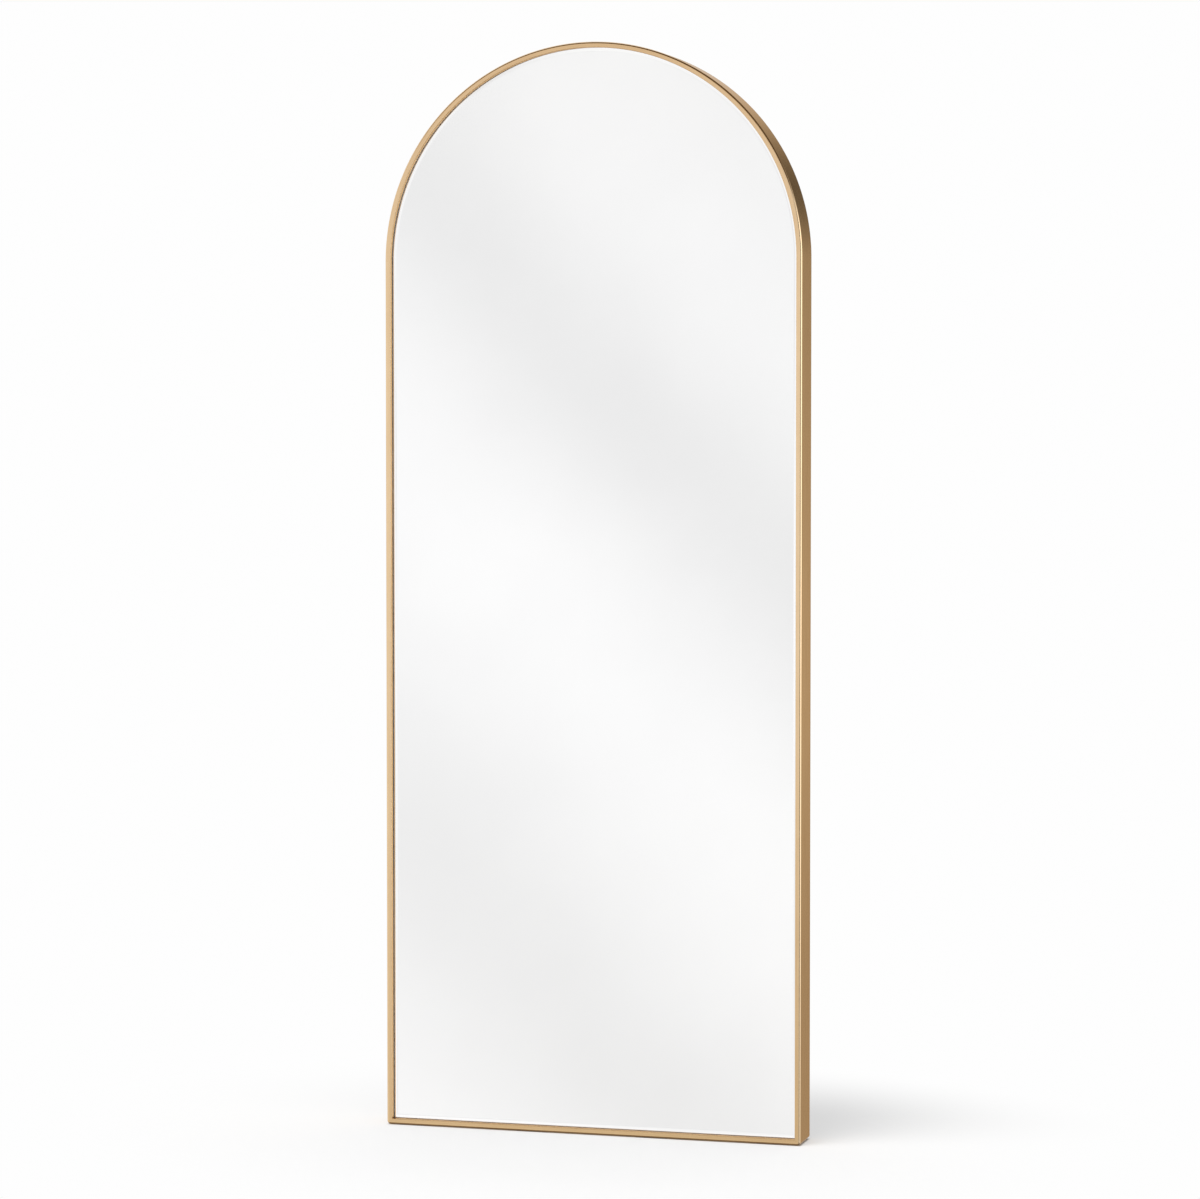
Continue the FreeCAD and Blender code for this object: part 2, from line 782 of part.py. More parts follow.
def make_nut():
    """A hexagon nut, still without its bore, on the stud and seated on the lug."""
    radius = "Sizes.nut_width / 2 / cos(30 deg)"
    return make_prism("nut_master", 6, radius, "Sizes.nut_height", "Sizes.lug_gauge")


# ---------------------------------------------------------------------------------------------
# Hangers
# ---------------------------------------------------------------------------------------------


def make_hanger_strap(label, x, drills):
    """A strap with two screw holes, folded up into a knuckle round the bar of its ring."""
    body = new_body(f"{label}_blank", COVER_BACK, HANGER_HEIGHT)
    bind(body, Placement__Base__x=x)
    gauge = "Sizes.strap_gauge"
    axis = "Sizes.ring_axis_back"
    neck = new_sketch(body, "neck", "YZ_Plane")
    polygon(
        neck,
        [("0", KNUCKLE_RADIUS), ("0", f"-{KNUCKLE_RADIUS} - Sizes.strap_gauge"),
         (gauge, f"-{KNUCKLE_RADIUS} - Sizes.strap_gauge"), (axis, f"-{KNUCKLE_RADIUS}"),
         (axis, KNUCKLE_RADIUS)],
    )
    pad(body, neck, "Sizes.strap_width", midplane=True)
    knuckle = new_sketch(body, "knuckle", "YZ_Plane")
    round_outline(knuckle, KNUCKLE_RADIUS, KNUCKLE_SIDES, axis)
    pad(body, knuckle, "Sizes.strap_width", midplane=True)
    plate = new_sketch(body, "plate", "XZ_Plane")
    half = "Sizes.strap_width / 2"
    polygon(
        plate,
        [(f"-{half}", "0"), (f"-{half}", "-Sizes.strap_length"),
         (half, "-Sizes.strap_length"), (half, "0")],
    )
    pad(body, plate, gauge, backwards=True)
    corners = []
    for number, edge in enumerate(body.Tip.Shape.Edges, start=1):
        box = edge.BoundBox
        low = box.ZMax < measure("-Sizes.strap_length") + SAME_PLACE
        upright = box.XLength < SAME_PLACE and box.YLength > measure(gauge) / 2
        if low and upright:
            corners.append(f"Edge{number}")
    round_edges(body, "plate_corners", corners, "Sizes.strap_corner")
    bore = new_sketch(body, "bore", "YZ_Plane")
    flats = "(Sizes.ring_wire / 2 + Sizes.knuckle_clearance)"
    round_outline(bore, f"{flats} / cos(180 deg / {KNUCKLE_SIDES})", KNUCKLE_SIDES, axis)
    pocket_through(body, bore)
    return drilled(label, body, drills)


def ring_bends():
    """Bends of the ring's wire from the right end of its bar: centre, radius, first and last angle."""
    reach = "(Sizes.ring_bar / 2)"
    corner = "Sizes.ring_corner"
    bow_centre = "-(Sizes.ring_corner + Sizes.ring_leg)"
    return (
        ((reach, f"-{corner}"), corner, 90, 0),
        (("0", bow_centre), f"({reach} + {corner})", 0, -180),
        ((f"-{reach}", f"-{corner}"), corner, 180, 90),
    )


def make_hanger_ring(label, x):
    """A D of wire whose straight bar runs through the knuckle; at rest it hangs down."""
    body = new_body(label, f"{COVER_BACK} + Sizes.ring_axis_back", HANGER_HEIGHT)
    bind(body, Placement__Base__x=x)
    corners = [("0", "0")]
    for (across, up), radius, first, last in ring_bends():
        flats = round(abs(last - first) / BEND_STEP)
        for number in range(flats + 1):
            turn = f"({first + (last - first) * number / flats} deg)"
            corners.append((f"{across} + {radius} * cos{turn}", f"{up} + {radius} * sin{turn}"))
    path = new_sketch(body, "path", "XZ_Plane")
    polygon(path, corners)
    section = new_sketch(body, "section", "YZ_Plane")
    round_outline(section, "Sizes.ring_wire / 2", WIRE_SIDES)
    doc.recompute()
    sweep = body.newObject("PartDesign::AdditivePipe", f"{label}_sweep")
    sweep.Profile = section
    sweep.Spine = (path, [])
    sweep.Transition = "Right corner"
    doc.recompute()
    return body


# ---------------------------------------------------------------------------------------------
# Rubber parts
# ---------------------------------------------------------------------------------------------


def make_bumper():
    """A tapered rubber foot with a well for its screw, still without the screw's hole."""
    body = new_body("bumper_master")
    base = new_sketch(body, "base", "XZ_Plane")
    round_outline(base, "Sizes.bumper_diameter / 2", BUMPER_SIDES)
    tip = new_sketch(body, "tip", "XZ_Plane", f"-{BUMPER_HEIGHT}")
    round_outline(tip, "Sizes.bumper_tip_diameter / 2", BUMPER_SIDES)
    taper = body.newObject("PartDesign::AdditiveLoft", "bumper_taper")
    taper.Profile = base
    taper.Sections = [tip]
    taper.Ruled = True
    doc.recompute()
    mouth = new_sketch(body, "mouth", "XZ_Plane", f"-{BUMPER_HEIGHT}")
    round_outline(mouth, "Sizes.bumper_tip_diameter / 2 - Sizes.bumper_rim", BUMPER_SIDES)
    before = body.Tip.Shape.Volume
    well = body.newObject("PartDesign::Pocket", "bumper_well")
    well.Profile = mouth
    well.Reversed = True
    bind(well, Length=f"{BUMPER_HEIGHT} - Sizes.bumper_seat")
    doc.recompute()
    if not well.Shape.Volume < before:
        raise RuntimeError("the bumper's well cuts nothing")
    return body


def group_of_boxes(label, centres, length, depth, height, back, low):
    """One node of equal rubber blocks at several places across the mirror."""
    blocks = []
    for centre in centres:
        corner = FreeCAD.Vector(centre - measure(length) / 2, measure(back), measure(low))
        blocks.append(Part.makeBox(measure(length), measure(depth), measure(height), corner))
    group = doc.addObject("Part::Feature", label)
    group.Label = label
    group.Shape = Part.makeCompound(blocks)
    return group


def make_foot_pads():
    """Thin pads between the hoop and the floor, evenly spaced."""
    outer = measure(f"{HALF_WIDTH} - Sizes.foot_inset")
    total = count("foot_count")
    centres = [outer * (2 * number / (total - 1) - 1) for number in range(total)]
    return group_of_boxes(
        "foot_pads", centres, "Sizes.foot_length",
        "Sizes.frame_depth - 2 * Sizes.foot_setback", "Sizes.foot_thickness",
        f"{FRONT_FACE} + Sizes.foot_setback", "0",
    )


def make_setting_blocks():
    """Two blocks that carry the glass and the boards in the bottom of the hoop."""
    place = measure(f"{HALF_WIDTH} - Sizes.block_inset")
    return group_of_boxes(
        "setting_blocks", (-place, place), "Sizes.block_length", f"{COVER_BACK} - {GLASS_FRONT}",
        "Sizes.package_clearance", GLASS_FRONT, "Sizes.foot_thickness + Sizes.sheet_gauge",
    )


# ---------------------------------------------------------------------------------------------
# The mirror
# ---------------------------------------------------------------------------------------------


def build():
    """Builds every piece and returns those that are parts of the mirror."""
    pieces = [make_frame_band(), make_glazing_tape(), make_mirror_glass()]
    for label, back, thickness in (
        ("silver_film", FILM_FRONT, "Sizes.film_thickness"),
        ("foam_sheet", FOAM_FRONT, "Sizes.foam_thickness"),
        ("backing_board", BOARD_FRONT, "Sizes.board_thickness"),
    ):
        pieces.append(arch_layer(label, back, PACKAGE_INSET, thickness))
    pieces += [make_setting_blocks(), make_foot_pads()]

    drills = make_drills()
    left = f"-({HALF_WIDTH} - {PACKAGE_INSET})"
    right = f"{HALF_WIDTH} - {PACKAGE_INSET} - Sizes.batten_width"
    pieces.append(make_stile("subframe_stile_left", left, drills))
    pieces.append(make_stile("subframe_stile_right", right, drills))
    for number, label in enumerate(RAILS):
        pieces.append(make_rail(label, number, drills))
    for number in range(count("arch_segments")):
        pieces.append(make_arch_segment(f"subframe_arch_{number + 1}", number, drills))
    cover = arch_layer("cover_blank", COVER_FRONT, PACKAGE_INSET, "Sizes.cover_thickness")
    pieces.append(drilled("rear_cover", cover, drills))

    back = measure(COVER_BACK)
    long_screw = make_screw("long_screw_master", "Sizes.joint_screw_length")
    pieces.append(copies("joint_screws", long_screw, joint_screw_places()))
    short_screw = make_screw("short_screw_master", "Sizes.cover_screw_length")
    for label, places in back_screw_places().items():
        pieces.append(copies(label, short_screw, places))

    on_wall = facing_inwards(lug_frames(), back)
    off_wall = facing_inwards(lug_frames("Sizes.lug_length"), back)
    lugs = copies("lug_blanks", make_lug(), off_wall)
    nuts = copies("nut_blanks", make_nut(), off_wall)
    pieces.append(drilled("retaining_lugs", lugs, drills))
    pieces.append(drilled("lug_nuts", nuts, drills))
    pieces.append(copies("weld_studs", make_stud("stud_master"), on_wall))

    side = f"({HALF_WIDTH} - Sizes.hanger_inset)"
    for name, x in (("left", f"-{side}"), ("right", side)):
        pieces.append(make_hanger_strap(f"hanger_strap_{name}", x, drills))
        pieces.append(make_hanger_ring(f"hanger_ring_{name}", x))
    bumpers = copies("bumper_blanks", make_bumper(), behind(bumper_points(), back))
    pieces.append(drilled("wall_bumpers", bumpers, drills))
    doc.recompute()
    return pieces


def check(pieces):
    """Stops if any object failed or any piece has no sound shape."""
    for item in doc.Objects:
        if "Invalid" in item.State or "Error" in item.State:
            raise RuntimeError(f"{item.Label} did not compute: {item.State}")
    for piece in pieces:
        if piece.Shape.isNull() or not piece.Shape.isValid():
            raise RuntimeError(f"{piece.Label} has no valid shape")


def export(pieces):
    """Writes one file for each piece and prints its size."""
    os.makedirs("parts", exist_ok=True)
    for piece in pieces:
        piece.Shape.exportStep(f"parts/{piece.Label}.step")
        box = piece.Shape.BoundBox
        print(
            f"{piece.Label}: {len(piece.Shape.Solids)} solids, {piece.Shape.Volume / 1000:.1f} cm3,"
            f" x {box.XMin:.2f}..{box.XMax:.2f}, y {box.YMin:.2f}..{box.YMax:.2f},"
            f" z {box.ZMin:.2f}..{box.ZMax:.2f}"
        )


mirror = build()
check(mirror)
export(mirror)
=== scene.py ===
"""Looks of an arched floor mirror: a bevelled glass in a deep, narrow, brass-coloured metal hoop.

Everything is in metres, +Z up, with the glass facing -Y.  "Inset" is the distance inwards from the
outer face of the hoop, measured in the plane of the mirror.
"""

import logging
import math
from dataclasses import dataclass
from enum import Enum

import bmesh
import bpy
import numpy as np
from mathutils import Euler, Matrix, Vector


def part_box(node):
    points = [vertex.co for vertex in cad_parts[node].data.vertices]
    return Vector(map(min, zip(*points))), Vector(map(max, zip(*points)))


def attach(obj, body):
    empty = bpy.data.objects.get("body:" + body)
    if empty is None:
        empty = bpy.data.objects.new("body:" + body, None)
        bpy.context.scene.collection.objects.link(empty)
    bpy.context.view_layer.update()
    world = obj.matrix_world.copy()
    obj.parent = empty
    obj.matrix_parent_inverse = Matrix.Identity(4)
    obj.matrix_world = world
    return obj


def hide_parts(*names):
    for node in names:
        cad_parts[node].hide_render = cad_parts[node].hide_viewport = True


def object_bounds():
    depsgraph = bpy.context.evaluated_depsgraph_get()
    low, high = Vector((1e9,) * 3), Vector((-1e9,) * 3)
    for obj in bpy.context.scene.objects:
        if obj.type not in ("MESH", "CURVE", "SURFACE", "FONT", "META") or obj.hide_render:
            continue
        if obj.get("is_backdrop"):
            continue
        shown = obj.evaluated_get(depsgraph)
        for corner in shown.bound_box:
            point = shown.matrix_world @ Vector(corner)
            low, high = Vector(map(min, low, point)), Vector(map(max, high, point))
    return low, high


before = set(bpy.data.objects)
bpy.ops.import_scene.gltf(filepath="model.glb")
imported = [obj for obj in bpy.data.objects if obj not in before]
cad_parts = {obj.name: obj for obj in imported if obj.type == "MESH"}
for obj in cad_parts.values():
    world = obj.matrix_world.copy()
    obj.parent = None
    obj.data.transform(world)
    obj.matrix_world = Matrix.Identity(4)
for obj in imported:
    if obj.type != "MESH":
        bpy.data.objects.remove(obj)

LOG = logging.getLogger("floor_mirror")
MM = 0.001
BODY = "mirror"
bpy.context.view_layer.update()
Colour = tuple[float, float, float]


# ---------------------------------------------------------------------------------------------
# Node trees
# ---------------------------------------------------------------------------------------------


def srgb(red: float, green: float, blue: float) -> Colour:
    """Turns a colour as seen on a screen, 0 to 255, into the linear values that nodes use.

    Args:
        red: Red, 0 to 255.
        green: Green, 0 to 255.
        blue: Blue, 0 to 255.

    Returns:
        The linear colour.
    """
    low_end = 0.04045
    linear = []
    for value in (red / 255, green / 255, blue / 255):
        linear.append(value / 12.92 if value <= low_end else ((value + 0.055) / 1.055) ** 2.4)
    return tuple(linear)


def grey(level: float) -> Colour:
    """A neutral linear colour of one level."""
    return (level, level, level)


class Graph:
    """A thin hand on a node tree: adds nodes, sets their inputs and links them."""

    def __init__(self, tree: bpy.types.NodeTree) -> None:
        """Keeps the tree that is being built."""
        self.tree = tree

    def add(self, kind: str, inputs: dict | None = None, **properties: object) -> bpy.types.Node:
        """Adds a node, sets its properties, and fills its inputs with values or sockets.

        Args:
            kind: The node's type name.
            inputs: Values or output sockets by input name or number.
            **properties: Properties of the node itself.

        Returns:
            The new node.
        """
        node = self.tree.nodes.new(kind)
        for name, value in properties.items():
            setattr(node, name, value)
        for name, value in (inputs or {}).items():
            self.feed(node.inputs[name], value)
        return node

    def feed(self, socket: bpy.types.NodeSocket, value: object) -> None:
        """Links an output socket to an input, or writes a plain value into it.

        Args:
            socket: The input.
            value: An output socket, or the value to write.
        """
        if isinstance(value, bpy.types.NodeSocket):
            self.tree.links.new(value, socket)
        elif isinstance(value, tuple) and len(value) == 3 and socket.type == "RGBA":
            socket.default_value = (*value, 1.0)
        else:
            socket.default_value = value

    def math(self, operation: str, first: object, second: object = 0.0) -> bpy.types.NodeSocket:
        """A Math node's result."""
        node = self.add("ShaderNodeMath", {0: first, 1: second}, operation=operation)
        return node.outputs[0]

    def ramp(self, factor: object, *stops: tuple[float, Colour]) -> bpy.types.NodeSocket:
        """A colour ramp's result; each stop is a position and a linear colour.

        Args:
            factor: A socket or number, 0 to 1.
            *stops: Position and linear colour of each stop.

        Returns:
            The ramp's colour.
        """
        node = self.add("ShaderNodeValToRGB", {"Fac": factor})
        ramp = node.color_ramp
        while len(ramp.elements) < len(stops):
            ramp.elements.new(0.5)
        for element, (position, colour) in zip(ramp.elements, stops):
            element.position = position
            element.color = (*colour, 1.0)
        return node.outputs["Color"]

    def vector(self, operation: str, first: object, second: object = (0, 0, 0)) -> bpy.types.NodeSocket:
        """A Vector Math node's result: a number for a length or a dot product, else a vector."""
        node = self.add("ShaderNodeVectorMath", {0: first, 1: second}, operation=operation)
        return node.outputs["Value" if operation in ("LENGTH", "DOT_PRODUCT") else "Vector"]

    def mix(self, factor: object, first: object, second: object) -> bpy.types.NodeSocket:
        """Two colours mixed by a factor.

        Args:
            factor: How much of the second colour shows.
            first: Colour at 0.
            second: Colour at 1.

        Returns:
            The mixed colour.
        """
        node = self.add("ShaderNodeMix", data_type="RGBA")
        self.feed(node.inputs[0], factor)
        self.feed(node.inputs[6], first)
        self.feed(node.inputs[7], second)
        return node.outputs[2]

    def spread(self, value: object, low: float, high: float) -> bpy.types.NodeSocket:
        """Maps 0 to 1 onto low to high."""
        node = self.add("ShaderNodeMapRange", {"Value": value, "To Min": low, "To Max": high})
        return node.outputs[0]

    def between(self, value: object, low: float, high: float, soft: bool = True) -> bpy.types.NodeSocket:
        """How far a value has come from low to high, 0 to 1, with eased ends where soft.

        Args:
            value: A socket or number.
            low: Where the result is 0.
            high: Where the result is 1.
            soft: Whether the ends are eased.

        Returns:
            The share, held between 0 and 1.
        """
        inputs = {"Value": value, "From Min": low, "From Max": high}
        kind = "SMOOTHSTEP" if soft else "LINEAR"
        return self.add("ShaderNodeMapRange", inputs, interpolation_type=kind).outputs[0]

    def noise(self, vector: object, scale: object, detail: float = 3.0,
              rough: float = 0.55) -> bpy.types.NodeSocket:
        """A noise texture's value."""
        inputs = {"Vector": vector, "Scale": scale, "Detail": detail, "Roughness": rough}
        return self.add("ShaderNodeTexNoise", inputs).outputs[0]

    def stretched(self, vector: object, scale: tuple[float, float, float]) -> bpy.types.NodeSocket:
        """A vector scaled by axis, so that a pattern runs along one of them."""
        return self.add("ShaderNodeMapping", {"Vector": vector, "Scale": scale}).outputs[0]


def new_group(name: str, kind: str, inputs: dict[str, tuple[str, object]],
              outputs: dict[str, str]) -> tuple:
    """Makes a node group with named sockets.

    Args:
        name: The group's name.
        kind: "ShaderNodeTree" or "GeometryNodeTree".
        inputs: Socket type and default value by name.
        outputs: Socket type by name.

    Returns:
        The graph, the group's input node and its output node.
    """
    tree = bpy.data.node_groups.new(name, kind)
    for socket_name, (socket_type, value) in inputs.items():
        socket = tree.interface.new_socket(name=socket_name, in_out="INPUT", socket_type=socket_type)
        if value is not None:
            socket.default_value = value
    for socket_name, socket_type in outputs.items():
        tree.interface.new_socket(name=socket_name, in_out="OUTPUT", socket_type=socket_type)
    graph = Graph(tree)
    return graph, graph.add("NodeGroupInput"), graph.add("NodeGroupOutput")


class Effects:
    """Shader groups that more than one finish uses, each built once."""

    def __init__(self) -> None:
        """Builds the groups."""
        self.streaks = self._streaks()
        self.wear = self._wear()
        self.mottle = self._mottle()
        self.grain = self._grain()

    @staticmethod
    def _streaks() -> bpy.types.NodeTree:
        """Fine lines that run along the first axis of a vector, as brushing or rolling leaves them.

        Returns:
            The group.
        """
        graph, given, result = new_group(
            "brushed_streaks",
            "ShaderNodeTree",
            {
                "Vector": ("NodeSocketVector", None),
                "Along": ("NodeSocketFloat", 12.0),
                "Across": ("NodeSocketFloat", 700.0),
                "Waviness": ("NodeSocketFloat", 0.3),
            },
            {"Streak": "NodeSocketFloat", "Band": "NodeSocketFloat"},
        )
        parts = graph.add("ShaderNodeSeparateXYZ", {0: given.outputs["Vector"]})
        wander = graph.noise(graph.stretched(given.outputs["Vector"], (9.0, 40.0, 40.0)), 1.0, 2.0)
        drift = graph.math("MULTIPLY", graph.math("SUBTRACT", wander, 0.5), given.outputs["Waviness"])
        across = graph.math("MULTIPLY", parts.outputs[1], given.outputs["Across"])
        joined = graph.add(
            "ShaderNodeCombineXYZ",
            {
                0: graph.math("MULTIPLY", parts.outputs[0], given.outputs["Along"]),
                1: graph.math("ADD", across, drift),
                2: parts.outputs[2],
            },
        )
        fine = graph.noise(joined.outputs[0], 1.0, 4.0, 0.6)
        broad = graph.noise(graph.stretched(joined.outputs[0], (0.6, 0.3, 1.0)), 1.0, 2.0)
        graph.feed(result.inputs["Streak"], fine)
        graph.feed(result.inputs["Band"], broad)
        return graph.tree

    @staticmethod
    def _wear() -> bpy.types.NodeTree:
        """Where a marked edge is rubbed: the edge mask broken up by noise.

        Returns:
            The group.
        """
        graph, given, result = new_group(
            "edge_wear",
            "ShaderNodeTree",
            {
                "Vector": ("NodeSocketVector", None),
                "Edge": ("NodeSocketFloat", 0.0),
                "Amount": ("NodeSocketFloat", 0.5),
                "Scale": ("NodeSocketFloat", 60.0),
            },
            {"Worn": "NodeSocketFloat"},
        )
        patches = graph.noise(given.outputs["Vector"], given.outputs["Scale"], 4.0, 0.5)
        broken = graph.spread(patches, 0.55, 1.15)
        rubbed = graph.math("MULTIPLY", given.outputs["Edge"], broken)
        graph.feed(result.inputs["Worn"], graph.math("MULTIPLY", rubbed, given.outputs["Amount"]))
        return graph.tree

    @staticmethod
    def _mottle() -> bpy.types.NodeTree:
        """Uneven tone and a fine tooth, as on board, rubber and foam.

        Returns:
            The group.
        """
        graph, given, result = new_group(
            "mottle",
            "ShaderNodeTree",
            {
                "Vector": ("NodeSocketVector", None),
                "Cloud scale": ("NodeSocketFloat", 6.0),
                "Tooth scale": ("NodeSocketFloat", 900.0),
            },
            {"Cloud": "NodeSocketFloat", "Tooth": "NodeSocketFloat"},
        )
        cloud = graph.noise(given.outputs["Vector"], given.outputs["Cloud scale"], 5.0, 0.5)
        tooth = graph.noise(given.outputs["Vector"], given.outputs["Tooth scale"], 2.0, 0.5)
        graph.feed(result.inputs["Cloud"], cloud)
        graph.feed(result.inputs["Tooth"], tooth)
        return graph.tree

    @staticmethod
    def _grain() -> bpy.types.NodeTree:
        """Growth rings and fibres of sawn softwood, running along the first axis of a vector.

        Returns:
            The group.
        """
        graph, given, result = new_group(
            "wood_grain",
            "ShaderNodeTree",
            {"Vector": ("NodeSocketVector", None), "Ring scale": ("NodeSocketFloat", 55.0)},
            {"Ring": "NodeSocketFloat", "Fibre": "NodeSocketFloat"},
        )
        along = graph.stretched(given.outputs["Vector"], (0.06, 1.0, 1.0))
        rings = graph.add(
            "ShaderNodeTexWave",
            {"Vector": along, "Scale": given.outputs["Ring scale"], "Distortion": 7.0, "Detail": 3.0},
            wave_type="RINGS",
            rings_direction="X",
        )
        fibre = graph.noise(graph.stretched(given.outputs["Vector"], (14.0, 900.0, 900.0)), 1.0, 3.0)
        graph.feed(result.inputs["Ring"], rings.outputs[1])
        graph.feed(result.inputs["Fibre"], fibre)
        return graph.tree


class Finish:
    """Base of the finishes: makes one material on first use and hands it out after that."""

    made: dict = {}

    def material(self, effects: Effects) -> bpy.types.Material:
        """The finish's material.

        Args:
            effects: The shared shader groups.

        Returns:
            The material, the same one each time.
        """
        key = type(self).__name__ + repr(self)
        if key not in Finish.made:
            material = bpy.data.materials.new(self.name)
            material.use_nodes = True
            graph = Graph(material.node_tree)
            shader = material.node_tree.nodes["Principled BSDF"]
            self.build(graph, shader, effects)
            Finish.made[key] = material
        return Finish.made[key]

    def place(self, graph: Graph) -> bpy.types.NodeSocket:
        """The piece's own coordinates, in metres."""
        return graph.add("ShaderNodeTexCoord").outputs["Object"]

    def group(self, graph: Graph, tree: bpy.types.NodeTree, inputs: dict) -> bpy.types.Node:
        """Puts a shared group in the material.

        Args:
            graph: The material's node tree.
            tree: The group.
            inputs: Values or sockets by input name.

        Returns:
            The group's node.
        """
        node = graph.add("ShaderNodeGroup", node_tree=tree)
        for name, value in inputs.items():
            graph.feed(node.inputs[name], value)
        return node

    def mottled(self, graph: Graph, effects: Effects, cloud: float, tooth: float) -> bpy.types.Node:
        """Puts the mottle group in the material, over the piece's own coordinates."""
        inputs = {"Vector": self.place(graph), "Cloud scale": cloud, "Tooth scale": tooth}
        return self.group(graph, effects.mottle, inputs)

    def bump(self, graph: Graph, shader: bpy.types.Node, height: object, strength: float,
             depth: float) -> None:
        """Feeds the shader's normal from a height."""
        inputs = {"Height": height, "Strength": strength, "Distance": depth}
        graph.feed(shader.inputs["Normal"], graph.add("ShaderNodeBump", inputs).outputs[0])


@dataclass(frozen=True)
class WarmGold(Finish):
    """Finely brushed plating in warm gold; its streaks follow the hoop."""

    name: str = "warm_gold"
    light: Colour = srgb(228, 196, 156)
    deep: Colour = srgb(214, 180, 138)
    # Colour of the painted shade inside the hoop's recess.
    inner: Colour = srgb(122, 106, 86)
    rubbed: Colour = srgb(238, 214, 178)
    grazing: Colour = srgb(229, 202, 170)

    def build(self, graph: Graph, shader: bpy.types.Node, effects: Effects) -> None:
        """Colour from streaks, paler where edges are rubbed, with painted shade darkening the inside of
        the hoop.

        Args:
            graph: The material's node tree.
            shader: Its Principled shader.
            effects: The shared shader groups.
        """
        along = graph.add("ShaderNodeUVMap", uv_map="Along").outputs[0]
        streaks = self.group(
            graph, effects.streaks, {"Vector": along, "Along": 11.0, "Across": 480.0, "Waviness": 1.6}
        )
        blend = graph.math("ADD", streaks.outputs["Streak"], streaks.outputs["Band"])
        tone = graph.ramp(graph.math("MULTIPLY", blend, 0.5), (0.36, self.deep), (0.62, self.light))
        edge = graph.add("ShaderNodeAttribute", attribute_name="edge").outputs["Fac"]
        inside = graph.add("ShaderNodeAttribute", attribute_name="inside").outputs["Fac"]
        worn = self.group(
            graph, effects.wear, {"Vector": along, "Edge": edge, "Amount": 0.55, "Scale": 45.0}
        )
        tone = graph.mix(worn.outputs["Worn"], tone, self.rubbed)
        # Painted shade: the recess of the hoop is mixed towards the dark inner colour.
        tone = graph.mix(inside, tone, self.inner)
        graph.feed(shader.inputs["Base Color"], tone)
        rough = graph.spread(streaks.outputs["Streak"], 0.13, 0.22)
        rough = graph.math("SUBTRACT", rough, graph.math("MULTIPLY", worn.outputs["Worn"], 0.05))
        graph.feed(shader.inputs["Roughness"], rough)
        graph.feed(shader.inputs["Metallic"], 1.0)
        graph.feed(shader.inputs["Specular Tint"], self.grazing)
        self.bump(graph, shader, streaks.outputs["Streak"], 0.06, 0.0002)


@dataclass(frozen=True)
class ClearGlass(Finish):
    """Polished low-iron glass."""

    name: str = "clear_glass"
    tint: Colour = (1.0, 1.0, 1.0)

    def build(self, graph: Graph, shader: bpy.types.Node, effects: Effects) -> None:
        """A clear refracting body with a breath of haze on the polish.

        Args:
            graph: The material's node tree.
            shader: Its Principled shader.
            effects: The shared shader groups.
        """
        mottle = self.mottled(graph, effects, 3.0, 260.0)
        graph.feed(shader.inputs["Base Color"], self.tint)
        graph.feed(shader.inputs["Roughness"], graph.spread(mottle.outputs["Cloud"], 0.0, 0.004))
        graph.feed(shader.inputs["Transmission Weight"], 1.0)
        graph.feed(shader.inputs["IOR"], 1.52)


@dataclass(frozen=True)
class Silvering(Finish):
    """The silver coat on the back of the glass, very slightly uneven, with a painted highlight under the
    bevel.
    """

    name: str = "silvering"
    bright: Colour = (0.97, 0.97, 0.97)
    cloudy: Colour = (0.94, 0.94, 0.942)
    # The painted highlight under the bevel: its colour, the heights over which it fades, and its
    # strength higher up.
    rim: Colour = (1.0, 1.0, 1.0)
    painted_highlight_fade: tuple[float, float] = (0.7, 1.5)
    painted_highlight_above: float = 0.3

    def build(self, graph: Graph, shader: bpy.types.Node, effects: Effects) -> None:
        """A mirror whose tone drifts over hand-wide patches, with a painted highlight under the bevel
        that is strongest low down.

        Args:
            graph: The material's node tree.
            shader: Its Principled shader.
            effects: The shared shader groups.
        """
        mottle = self.mottled(graph, effects, 2.2, 300.0)
        tone = graph.ramp(mottle.outputs["Cloud"], (0.3, self.cloudy), (0.7, self.bright))
        # Painted highlight: the silver under the bevel is whitened, fully low down and less higher up.
        thin = graph.add("ShaderNodeAttribute", attribute_name="painted_bevel_highlight").outputs["Fac"]
        height = graph.add("ShaderNodeSeparateXYZ", {0: self.place(graph)}).outputs[2]
        strength = graph.spread(graph.between(height, *self.painted_highlight_fade, soft=False), 1.0, self.painted_highlight_above)
        thin = graph.math("MULTIPLY", thin, strength)
        graph.feed(shader.inputs["Base Color"], graph.mix(thin, tone, self.rim))
        graph.feed(shader.inputs["Roughness"], graph.spread(mottle.outputs["Cloud"], 0.0, 0.008))
        graph.feed(shader.inputs["Metallic"], 1.0)


@dataclass(frozen=True)
class ZincSteel(Finish):
    """Bright zinc plating: a faint bluish spangle with rolled streaks."""

    name: str = "zinc_steel"
    pale: Colour = srgb(206, 208, 210)
    dull: Colour = srgb(150, 154, 160)
    warm: Colour = srgb(196, 188, 166)

    def build(self, graph: Graph, shader: bpy.types.Node, effects: Effects) -> None:
        """Tone and roughness from streaks and blotches.

        Args:
            graph: The material's node tree.
            shader: Its Principled shader.
            effects: The shared shader groups.
        """
        place = self.place(graph)
        streaks = self.group(
            graph, effects.streaks, {"Vector": place, "Along": 180.0, "Across": 1900.0, "Waviness": 0.6}
        )
        mottle = self.mottled(graph, effects, 130.0, 2600.0)
        worn = self.group(
            graph, effects.wear,
            {"Vector": place, "Edge": mottle.outputs["Cloud"], "Amount": 0.5, "Scale": 300.0},
        )
        tone = graph.ramp(mottle.outputs["Cloud"], (0.32, self.dull), (0.66, self.pale))
        tone = graph.mix(worn.outputs["Worn"], tone, self.warm)
        graph.feed(shader.inputs["Base Color"], tone)
        graph.feed(shader.inputs["Roughness"], graph.spread(streaks.outputs["Streak"], 0.22, 0.46))
        graph.feed(shader.inputs["Metallic"], 1.0)
        self.bump(graph, shader, mottle.outputs["Tooth"], 0.1, 0.00005)


